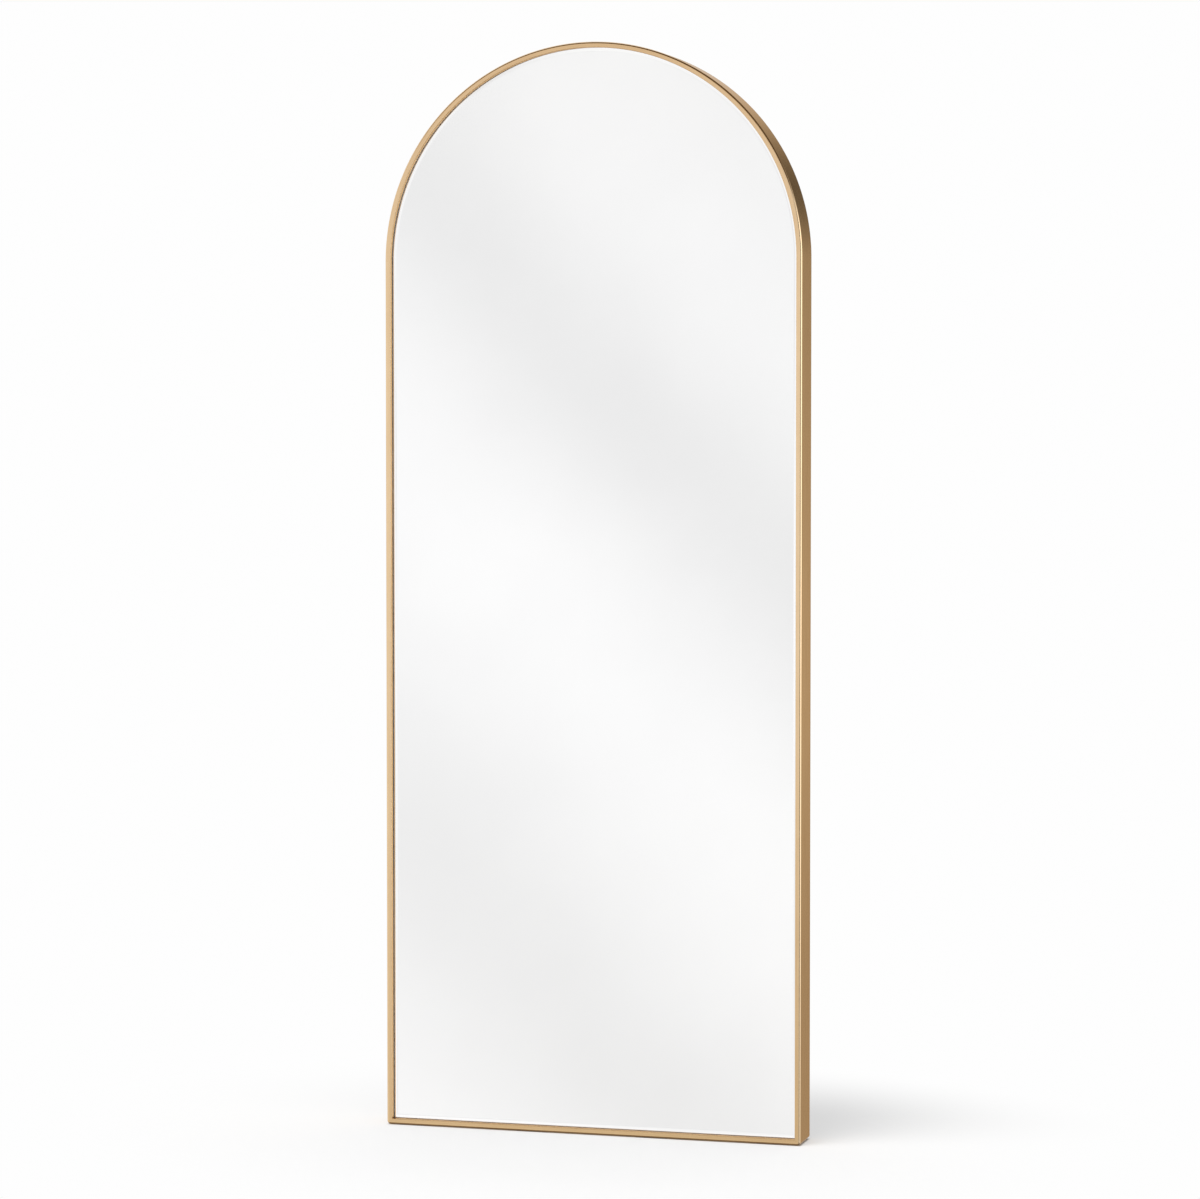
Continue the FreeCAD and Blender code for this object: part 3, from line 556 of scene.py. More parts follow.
@dataclass(frozen=True)
class MouldedRubber(Finish):
    """Matt black rubber with a fine tooth and a little dust in its hollows."""

    name: str = "dark_rubber"
    black: Colour = srgb(38, 38, 40)
    dusty: Colour = srgb(74, 73, 72)

    def build(self, graph: Graph, shader: bpy.types.Node, effects: Effects) -> None:
        """Dusty clouds over black, with a bump.

        Args:
            graph: The material's node tree.
            shader: Its Principled shader.
            effects: The shared shader groups.
        """
        mottle = self.mottled(graph, effects, 70.0, 1600.0)
        tone = graph.ramp(mottle.outputs["Cloud"], (0.38, self.black), (0.8, self.dusty))
        graph.feed(shader.inputs["Base Color"], tone)
        graph.feed(shader.inputs["Roughness"], graph.spread(mottle.outputs["Tooth"], 0.62, 0.85))
        self.bump(graph, shader, mottle.outputs["Tooth"], 0.25, 0.0001)


@dataclass(frozen=True)
class BoardFace(Finish):
    """Fibreboard, plain or with a painted face: clouds, flecks and a fine tooth."""

    name: str = "cover_board"
    dark: Colour = srgb(40, 38, 36)
    pale: Colour = srgb(62, 59, 56)
    gloss: float = 0.55

    def build(self, graph: Graph, shader: bpy.types.Node, effects: Effects) -> None:
        """Flecked tone over soft clouds.

        Args:
            graph: The material's node tree.
            shader: Its Principled shader.
            effects: The shared shader groups.
        """
        mottle = self.mottled(graph, effects, 5.0, 700.0)
        flecks = graph.noise(graph.stretched(self.place(graph), (260.0, 260.0, 120.0)), 1.0, 5.0, 0.7)
        blend = graph.math("ADD", graph.math("MULTIPLY", mottle.outputs["Cloud"], 0.45),
                           graph.math("MULTIPLY", flecks, 0.55))
        graph.feed(shader.inputs["Base Color"], graph.ramp(blend, (0.38, self.dark), (0.62, self.pale)))
        graph.feed(shader.inputs["Roughness"],
                   graph.spread(mottle.outputs["Cloud"], self.gloss, self.gloss + 0.25))
        self.bump(graph, shader, mottle.outputs["Tooth"], 0.2, 0.0001)


@dataclass(frozen=True)
class SawnPine(Finish):
    """Planed softwood; the grain runs along the batten."""

    name: str = "softwood"
    upright: bool = True
    early: Colour = srgb(226, 198, 150)
    late: Colour = srgb(186, 140, 88)

    def build(self, graph: Graph, shader: bpy.types.Node, effects: Effects) -> None:
        """Rings and fibres turned to the batten's own length.

        Args:
            graph: The material's node tree.
            shader: Its Principled shader.
            effects: The shared shader groups.
        """
        turn = (0.0, math.pi / 2, 0.0) if self.upright else (0.0, 0.0, 0.0)
        mapping = graph.add("ShaderNodeMapping", {"Vector": self.place(graph), "Rotation": turn})
        grain = self.group(graph, effects.grain, {"Vector": mapping.outputs[0], "Ring scale": 60.0})
        tone = graph.ramp(grain.outputs["Ring"], (0.25, self.early), (0.85, self.late))
        fibres = graph.ramp(grain.outputs["Fibre"], (0.3, self.late), (0.7, self.early))
        graph.feed(shader.inputs["Base Color"], graph.mix(0.25, tone, fibres))
        graph.feed(shader.inputs["Roughness"], graph.spread(grain.outputs["Fibre"], 0.5, 0.75))
        self.bump(graph, shader, grain.outputs["Fibre"], 0.15, 0.0002)


@dataclass(frozen=True)
class Foam(Finish):
    """Closed-cell foam: off-white, with tiny cells."""

    name: str = "foam_tape"
    pale: Colour = srgb(236, 236, 232)
    shade: Colour = srgb(206, 206, 200)

    def build(self, graph: Graph, shader: bpy.types.Node, effects: Effects) -> None:
        """Cells in tone and bump.

        Args:
            graph: The material's node tree.
            shader: Its Principled shader.
            effects: The shared shader groups.
        """
        place = self.place(graph)
        cells = graph.add("ShaderNodeTexVoronoi", {"Vector": place, "Scale": 1400.0}).outputs[0]
        graph.feed(shader.inputs["Base Color"], graph.ramp(cells, (0.1, self.pale), (0.9, self.shade)))
        graph.feed(shader.inputs["Roughness"], graph.spread(cells, 0.7, 0.9))
        self.bump(graph, shader, cells, 0.3, 0.0002)


# ---------------------------------------------------------------------------------------------
# Mesh helpers
# ---------------------------------------------------------------------------------------------


def placed(name: str, data: bpy.types.ID) -> bpy.types.Object:
    """Puts a new object with this data in the scene.

    Args:
        name: The object's name.
        data: A mesh or curve.

    Returns:
        The object.
    """
    item = bpy.data.objects.new(name, data)
    bpy.context.scene.collection.objects.link(item)
    return item


def finished_object(name: str, mesh: bpy.types.Mesh, material: bpy.types.Material, body: str,
                    slot: str, *nodes: str) -> bpy.types.Object:
    """Puts a finished mesh in the scene as a piece of the mirror.

    Args:
        name: The piece's name.
        mesh: Its mesh, in place.
        material: Its finish.
        body: The body it rides on.
        slot: Not used.
        *nodes: The construction nodes that it stands for.

    Returns:
        The new object.
    """
    mesh.materials.clear()
    mesh.materials.append(material)
    piece = placed(name, mesh)
    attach(piece, body)
    if nodes:
        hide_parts(*nodes)
    LOG.info("%s: %d vertices, %d faces", name, len(mesh.vertices), len(mesh.polygons))
    return piece


def dress(node: str, material: bpy.types.Material) -> None:
    """Gives a construction node its finish.

    Args:
        node: The construction node's name.
        material: The finish.
    """
    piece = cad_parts[node]
    if not piece.material_slots:
        piece.data.materials.append(None)
    for holder in piece.material_slots:
        holder.material = material
    LOG.info("%s: dressed in %s", node, material.name)


def solids_of(node: str) -> list[tuple[Vector, Vector]]:
    """Finds the separate solids of a construction node.

    Args:
        node: The node's name.

    Returns:
        The lowest and highest corner of each solid, in a steady order.
    """
    mesh = bmesh.new()
    mesh.from_mesh(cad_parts[node].data)
    bmesh.ops.remove_doubles(mesh, verts=mesh.verts, dist=0.01 * MM)
    left = set(mesh.verts)
    boxes = []
    while left:
        heap = [left.pop()]
        points = []
        while heap:
            vertex = heap.pop()
            points.append(vertex.co.copy())
            for edge in vertex.link_edges:
                other = edge.other_vert(vertex)
                if other in left:
                    left.remove(other)
                    heap.append(other)
        low = Vector([min(p[axis] for p in points) for axis in range(3)])
        high = Vector([max(p[axis] for p in points) for axis in range(3)])
        boxes.append((low, high))
    mesh.free()
    return sorted(boxes, key=lambda box: tuple(round(value, 4) for value in box[0]))


def smooth(mesh: bpy.types.Mesh, angle: float) -> bpy.types.Mesh:
    """Shades a mesh smooth, with edges sharper than an angle in degrees kept crisp.

    Args:
        mesh: The mesh.
        angle: The angle between faces, in degrees.

    Returns:
        The same mesh.
    """
    mesh.shade_smooth()
    mesh.set_sharp_from_angle(angle=math.radians(angle))
    return mesh


def ease(hand: bmesh.types.BMesh, edges: list[bmesh.types.BMEdge], radius: float, steps: int) -> None:
    """Rounds edges of a form."""
    bmesh.ops.bevel(hand, geom=edges, offset=radius, segments=steps, affect="EDGES", profile=0.5)


def closed_mesh(name: str, hand: bmesh.types.BMesh, angle: float) -> bpy.types.Mesh:
    """Makes a mesh of a closed form, its faces turned outwards.

    Args:
        name: The mesh's name.
        hand: The form, which is freed.
        angle: Edges sharper than this, in degrees, stay crisp.

    Returns:
        The mesh.
    """
    bmesh.ops.recalc_face_normals(hand, faces=hand.faces)
    if hand.calc_volume(signed=True) < 0:
        bmesh.ops.reverse_faces(hand, faces=hand.faces)
    mesh = bpy.data.meshes.new(name)
    hand.to_mesh(mesh)
    hand.free()
    return smooth(mesh, angle)


def baked(item: bpy.types.Object, name: str, *helpers: bpy.types.Object) -> bpy.types.Mesh:
    """Makes a plain mesh of an object with its modifiers, and removes the object.

    Args:
        item: The object.
        name: The mesh's name.
        *helpers: Other objects that its modifiers used, removed with it.

    Returns:
        The mesh.
    """
    bpy.context.view_layer.update()
    evaluated = item.evaluated_get(bpy.context.evaluated_depsgraph_get())
    mesh = bpy.data.meshes.new_from_object(evaluated)
    mesh.name = name
    item.modifiers.clear()
    for used in (item, *helpers):
        bpy.data.objects.remove(used)
    return mesh


def lathe(name: str, profile: list[tuple[float, float]], steps: int = 40) -> bpy.types.Mesh:
    """Turns a profile about Z.

    Args:
        name: The mesh's name.
        profile: Radius and height of each point, from the bottom round to the top, in metres.
        steps: How many steps make a full turn.

    Returns:
        A closed mesh: an end on the axis is a pole, and a profile off the axis is joined to itself.
    """
    hand = bmesh.new()
    ring_of = []
    for radius, height in profile:
        if radius < 1e-7:
            ring_of.append([hand.verts.new((0, 0, height))])
            continue
        ring = []
        for step in range(steps):
            turn = 2 * math.pi * step / steps
            ring.append(hand.verts.new((radius * math.cos(turn), radius * math.sin(turn), height)))
        ring_of.append(ring)
    pairs = list(zip(ring_of, ring_of[1:]))
    if len(ring_of[0]) > 1 and len(ring_of[-1]) > 1:
        pairs.append((ring_of[-1], ring_of[0]))
    for lower, upper in pairs:
        for step in range(steps):
            after = (step + 1) % steps
            corners = [lower[step % len(lower)], lower[after % len(lower)],
                       upper[after % len(upper)], upper[step % len(upper)]]
            hand.faces.new(list(dict.fromkeys(corners)))
    return closed_mesh(name, hand, 32.0)


def rounded_profile(corners: list[tuple[float, float, float]],
                    steps: int) -> list[tuple[float, float]]:
    """Rounds the corners of an open profile.

    Args:
        corners: X, y and rounding radius of each corner, in one unit.
        steps: Steps in each rounded corner.

    Returns:
        The profile's points.
    """
    points = []
    for index, (x, y, radius) in enumerate(corners):
        here = Vector((x, y))
        if radius <= 0 or index in (0, len(corners) - 1):
            points.append((x, y))
            continue
        before = Vector(corners[index - 1][:2]) - here
        after = Vector(corners[index + 1][:2]) - here
        half = before.angle(after) / 2
        reach = radius / math.tan(half)
        first = here + before.normalized() * reach
        last = here + after.normalized() * reach
        inwards = (before.normalized() + after.normalized()).normalized()
        centre = here + inwards * (radius / math.sin(half))
        for step in range(steps + 1):
            blend = first.lerp(last, step / steps) - centre
            spot = centre + blend.normalized() * radius
            points.append((spot.x, spot.y))
    return points


# ---------------------------------------------------------------------------------------------
# The hoop's outline
# ---------------------------------------------------------------------------------------------


@dataclass
class Outline:
    """The arch-shaped outline of the mirror, from which every layer is an inset."""

    half_width: float
    foot: float
    top: float
    corner: float = 6 * MM
    arch_steps: int = 216
    corner_steps: int = 14

    @property
    def spring(self) -> float:
        """Height at which the straight sides run into the arch."""
        return self.top - self.half_width

    def loop(self, inset: float) -> np.ndarray:
        """The outline at an inset: as many points for each inset, so that loops can be joined.

        Args:
            inset: Distance inwards from the outer face.

        Returns:
            X and z of each point, up the left side, over the arch, down the right and back.
        """
        radius = self.half_width - inset
        points = []
        for step in range(self.arch_steps + 1):
            turn = math.pi * (1 - step / self.arch_steps)
            points.append((radius * math.cos(turn), self.spring + radius * math.sin(turn)))
        points += self._corner(inset, 1, 0.0)
        points += self._corner(inset, -1, 90.0)
        return np.array(points)

    def _corner(self, inset: float, side: int, start: float) -> list[tuple[float, float]]:
        """Points of one bottom corner, rounded at small insets and sharp at large ones.

        Args:
            inset: Distance inwards from the hoop's outer face.
            side: -1 for the left corner, 1 for the right.
            start: How far the first point is turned down from +X, in degrees.

        Returns:
            Points as x and z.
        """
        rounding = max(self.corner - inset, 0.0)
        reach = max(self.corner, inset)
        centre = (side * (self.half_width - reach), self.foot + reach)
        points = []
        for step in range(self.corner_steps + 1):
            turn = math.radians(-start - 90 * step / self.corner_steps)
            points.append((centre[0] + rounding * math.cos(turn), centre[1] + rounding * math.sin(turn)))
        return points


def swept(name: str, outline: Outline, section: list[tuple[float, float]], closed: bool,
          marks: dict[str, list[float]] | None = None) -> bpy.types.Mesh:
    """Carries a section round the outline.

    Args:
        name: The mesh's name.
        outline: The outline.
        section: Inset and depth (y) of each point of the section, in metres.
        closed: True for a closed section; an open one gets flat caps over its two end loops.
        marks: Values for each point of the section, stored as attributes by name.

    Returns:
        A closed mesh with a UV map "Along": metres along the outline and across the section.
    """
    loops = [outline.loop(inset) for inset, _ in section]
    stations = len(loops[0])
    outer = outline.loop(0.0)
    steps = np.linalg.norm(np.diff(np.vstack([outer, outer[:1]]), axis=0), axis=1)
    along = np.concatenate([[0.0], np.cumsum(steps)])
    ends = section + section[:1] if closed else section
    across = [0.0]
    for (inset, depth), (next_inset, next_depth) in zip(ends, ends[1:]):
        across.append(across[-1] + math.hypot(next_inset - inset, next_depth - depth))

    hand = bmesh.new()
    uv_layer = hand.loops.layers.uv.new("Along")
    layers = {mark: hand.verts.layers.float.new(mark) for mark in (marks or {})}
    seen: dict = {}
    grid = []
    for row, (_, depth) in enumerate(section):
        line = []
        for x, z in loops[row]:
            key = (round(x, 7), round(depth, 7), round(z, 7))
            if key not in seen:
                seen[key] = hand.verts.new((x, depth, z))
                for mark, layer in layers.items():
                    seen[key][layer] = marks[mark][row]
            line.append(seen[key])
        grid.append(line)
    rows = len(section) if closed else len(section) - 1
    for row in range(rows):
        below = (row + 1) % len(section)
        for station in range(stations):
            after = (station + 1) % stations
            corners = [
                (grid[row][station], along[station], across[row]),
                (grid[below][station], along[station], across[row + 1]),
                (grid[below][after], along[station + 1], across[row + 1]),
                (grid[row][after], along[station + 1], across[row]),
            ]
            unique = {corner[0]: corner for corner in corners}
            if len(unique) < 3:
                continue
            face = hand.faces.new(list(unique))
            for loop in face.loops:
                loop[uv_layer].uv = unique[loop.vert][1:]
    if not closed:
        for line in (grid[0], grid[-1]):
            cap = hand.faces.new(list(dict.fromkeys(line)))
            for loop in cap.loops:
                loop[uv_layer].uv = (loop.vert.co.x, loop.vert.co.z)
    return closed_mesh(name, hand, 25.0)


# ---------------------------------------------------------------------------------------------
# Pieces that repeat: placed by geometry nodes
# ---------------------------------------------------------------------------------------------


def end_tree(graph: Graph, geometry: bpy.types.NodeSocket, given: bpy.types.Node,
             result: bpy.types.Node) -> None:
    """Ends a geometry tree: instances made real, in the finish that the tree was given.

    Args:
        graph: The tree.
        geometry: What it has made.
        given: Its input node.
        result: Its output node.
    """
    real = graph.add("GeometryNodeRealizeInstances", {0: geometry})
    inputs = {"Geometry": real.outputs[0], "Material": given.outputs["Finish"]}
    graph.feed(result.inputs[0], graph.add("GeometryNodeSetMaterial", inputs).outputs[0])


class Placer:
    """Puts copies of a modelled piece at marked points, with one geometry tree for all."""

    def __init__(self) -> None:
        """Builds the tree."""
        graph, given, result = new_group(
            "place_copies",
            "GeometryNodeTree",
            {
                "Geometry": ("NodeSocketGeometry", None),
                "Piece": ("NodeSocketObject", None),
                "Size": ("NodeSocketFloat", 1.0),
                "Loose turn": ("NodeSocketFloat", 0.0),
                "Seed": ("NodeSocketInt", 0),
                "Finish": ("NodeSocketMaterial", None),
            },
            {"Geometry": "NodeSocketGeometry"},
        )
        piece = graph.add("GeometryNodeObjectInfo", {"Object": given.outputs["Piece"]})
        facing = graph.add(
            "GeometryNodeInputNamedAttribute", {"Name": "facing"}, data_type="FLOAT_VECTOR"
        )
        turn = graph.add("FunctionNodeEulerToRotation", {0: facing.outputs[0]})
        spin = graph.add("FunctionNodeRandomValue", data_type="FLOAT")
        graph.feed(spin.inputs[3], given.outputs["Loose turn"])
        graph.feed(spin.inputs["Seed"], given.outputs["Seed"])
        about = graph.add(
            "FunctionNodeAxisAngleToRotation", {"Axis": (0.0, 0.0, 1.0), "Angle": spin.outputs[1]}
        )
        whole = graph.add("FunctionNodeRotateRotation", rotation_space="LOCAL")
        graph.feed(whole.inputs[0], turn.outputs[0])
        graph.feed(whole.inputs[1], about.outputs[0])
        size = graph.add(
            "ShaderNodeCombineXYZ",
            {axis: given.outputs["Size"] for axis in range(3)},
        )
        copies = graph.add(
            "GeometryNodeInstanceOnPoints",
            {
                "Points": given.outputs["Geometry"],
                "Instance": piece.outputs["Geometry"],
                "Rotation": whole.outputs[0],
                "Scale": size.outputs[0],
            },
        )
        end_tree(graph, copies.outputs[0], given, result)
        self.tree = graph.tree

    def spread(self, name: str, pattern: bpy.types.Mesh, spots: list[tuple[Vector, Euler]],
               material: bpy.types.Material, slot: str, nodes: tuple[str, ...],
               loose_turn: float = 0.0, seed: int = 0) -> bpy.types.Object:
        """Places copies and makes them one plain mesh.

        Args:
            name: The new piece's name.
            pattern: The mesh to copy, its own origin on the point and its axis along Z.
            spots: Place and turn of each copy.
            material: The copies' finish.
            slot: The record's material slot.
            nodes: Construction nodes that the copies stand for.
            loose_turn: Largest random turn about the piece's own axis, in radians.
            seed: Seed of that turn.

        Returns:
            The piece.
        """
        carrier_mesh = bpy.data.meshes.new(f"{name}_points")
        carrier_mesh.from_pydata([tuple(spot) for spot, _ in spots], [], [])
        facing = carrier_mesh.attributes.new("facing", "FLOAT_VECTOR", "POINT")
        facing.data.foreach_set("vector", [angle for _, turn in spots for angle in turn])
        carrier = placed(f"{name}_carrier", carrier_mesh)
        model = placed(f"{name}_model", pattern)
        modifier = carrier.modifiers.new("copies", "NODES")
        modifier.node_group = self.tree
        set_inputs(modifier, {"Piece": model, "Size": 1.0, "Loose turn": loose_turn, "Seed": seed,
                              "Finish": material})
        mesh = baked(carrier, f"{name}_mesh", model)
        return finished_object(name, mesh, material, BODY, slot, *nodes)


def set_inputs(modifier: bpy.types.NodesModifier, values: dict[str, object]) -> None:
    """Sets a geometry modifier's inputs, found by name and set by the socket's identifier.

    Args:
        modifier: The modifier, its tree already set.
        values: Values by input name.
    """
    for item in modifier.node_group.interface.items_tree:
        if item.in_out == "INPUT" and item.name in values:
            modifier[item.identifier] = values[item.name]


class Facing(Enum):
    """Ways that a repeated piece's own Z axis can point."""

    BACK = Euler((-math.pi / 2, 0.0, 0.0))
    UP = Euler((0.0, 0.0, 0.0))


# ---------------------------------------------------------------------------------------------
# Sub-assemblies
# ---------------------------------------------------------------------------------------------


@dataclass
class FrameBand:
    """The hoop: one sheet folded into face, lip, reveal, seat flange, side and rear hem."""

    outline: Outline
    front: float
    back: float
    face: float = 10 * MM
    gauge: float = 1.5 * MM
    nose: float = 8 * MM
    slot_gap: float = 0.8 * MM
    hem: float = 3 * MM
    front_rounding: float = 3.5 * MM
    lip_rounding: float = 0.8 * MM
    rear_rounding: float = 1.2 * MM
    guard: float = 0.12 * MM

    def arc(self, centre: tuple[float, float], radius: float, start: float, steps: int) -> list:
        """A quarter round of the section, guarded at both ends so that flats stay flat.

        Args:
            centre: Inset and depth of the arc's centre.
            radius: Its radius.
            start: Its start angle in degrees; it turns through 90 degrees.
            steps: Its steps.

        Returns:
            The points, as inset and depth.
        """
        first = math.radians(start)
        last = math.radians(start + 90)
        lead = (-math.sin(first), math.cos(first))
        trail = (-math.sin(last), math.cos(last))
        points = []
        for step in range(steps + 1):
            turn = first + (last - first) * step / steps
            points.append((centre[0] + radius * math.cos(turn), centre[1] + radius * math.sin(turn)))
        before = (points[0][0] - lead[0] * self.guard, points[0][1] - lead[1] * self.guard)
        after = (points[-1][0] + trail[0] * self.guard, points[-1][1] + trail[1] * self.guard)
        return [before, *points, after]

    def section(self) -> tuple[list[tuple[float, float]], list[float], list[float]]:
        """The section's points, with how exposed each is to rubbing and how much painted shade it gets
        inside the hoop.

        Returns:
            Points as inset and depth, and for each the mark of wear and of the painted shade inside the
            hoop.
        """
        depth = self.back - self.front
        seat = self.nose - self.gauge
        wall = self.face - self.gauge
        slot = self.gauge + self.slot_gap
        fold, lip, rear = self.front_rounding, self.lip_rounding, self.rear_rounding
        inner = fold - self.gauge
        bend = [(fold - inner * math.sin(turn), fold - inner * math.cos(turn))
                for turn in (math.pi / 8, math.pi / 4, 3 * math.pi / 8, math.pi / 2)]
        # Each run: its points, how much it is rubbed, and how much painted shade darkens it inside the
        # hoop.
        pieces = [
            (self.arc((fold, fold), fold, 180, 12), 1.0, 0.0),
            (self.arc((self.face - lip, lip), lip, 270, 6), 0.8, 0.0),
            ([(self.face, self.nose - self.guard)], 0.0, 0.0),
            ([(self.face, self.nose), (slot, self.nose), (slot, seat)], 0.0, 1.0),
            ([(wall, seat), (wall, self.gauge), (fold, self.gauge), *bend], 0.0, 1.0),
            ([(self.gauge, depth - self.hem), (self.hem, depth - self.hem)], 0.0, 0.3),
            (self.arc((self.hem - rear, depth - rear), rear, 0, 6), 0.5, 0.0),
            (self.arc((rear, depth - rear), rear, 90, 6), 0.5, 0.0),
        ]
        points, edge, inside = [], [], []
        for run, rubbed, deep in pieces:
            for inset, back in run:
                points.append((inset, self.front + back))
                edge.append(rubbed)
                inside.append(deep)
        return points, edge, inside

    def build(self, effects: Effects) -> bpy.types.Object:
        """Makes the hoop and gives it its gold.

        Args:
            effects: The shared shader groups.

        Returns:
            The hoop.
        """
        points, edge, inside = self.section()
        mesh = swept("hoop_mesh", self.outline, points, True, {"edge": edge, "inside": inside})
        gold = WarmGold().material(effects)
        return finished_object("hoop", mesh, gold, BODY, "gold_metal", "frame_band")


@dataclass
class GlassPackage:
    """Glass, its silver and the layers behind it."""

    outline: Outline
    front: float
    back: float
    inset: float = 3.5 * MM
    bevel: float = 12.5 * MM
    drop: float = 1.8 * MM
    arris: float = 0.25 * MM
    bite: float = 0.03 * MM
    film: float = 0.3 * MM
    step: float = 0.5 * MM

    def build(self, effects: Effects) -> None:
        """Makes the glass and its silver, and dresses the layers that are sealed in.

        Args:
            effects: The shared shader groups.
        """
        slope = self.drop / self.bevel
        section = [
            (self.inset + self.bevel, self.front),
            (self.inset + self.arris, self.front + self.drop - self.arris * slope),
            (self.inset, self.front + self.drop + self.arris),
            (self.inset, self.back - self.arris),
            (self.inset + self.arris, self.back),
        ]
        mesh = swept("glass_mesh", self.outline, section, False)
        smooth(mesh, 4.0)
        finished_object("bevelled_glass", mesh, ClearGlass().material(effects), BODY, "clear_glass",
                        "mirror_glass")
        rim = self.inset + self.arris
        flat = self.inset + self.bevel
        level = self.back - self.bite
        coat = [(flat, level), (flat - self.step, level), (rim, level), (rim, level + self.film)]
        # The silver under the bevel is marked for its painted highlight.
        mesh = swept("silver_mesh", self.outline, coat, False, {"painted_bevel_highlight": [0.0, 1.0, 1.0, 1.0]})
        finished_object("silver_coat", mesh, Silvering().material(effects), BODY, "silvering",
                        "silver_film")
        for node in ("glazing_tape", "foam_sheet"):
            dress(node, Foam().material(effects))
        board = BoardFace(
            name="backing_board", dark=srgb(146, 112, 76), pale=srgb(184, 150, 108), gloss=0.6
        )
        dress("backing_board", board.material(effects))


@dataclass
class Backing:
    """The softwood subframe and the cover behind it."""

    rails: tuple[str, ...] = ("subframe_bottom_rail", "subframe_lower_rail", "subframe_middle_rail",
                              "subframe_upper_rail", "subframe_arch_2")
    uprights: tuple[str, ...] = ("subframe_stile_left", "subframe_stile_right", "subframe_arch_1",
                                 "subframe_arch_3")

    def build(self, effects: Effects) -> None:
        """Dresses the battens, each with the grain along its length, and the cover.

        Args:
            effects: The shared shader groups.
        """
        for node in self.rails:
            dress(node, SawnPine(upright=False).material(effects))
        for node in self.uprights:
            dress(node, SawnPine(upright=True).material(effects))
        dress("rear_cover", BoardFace().material(effects))


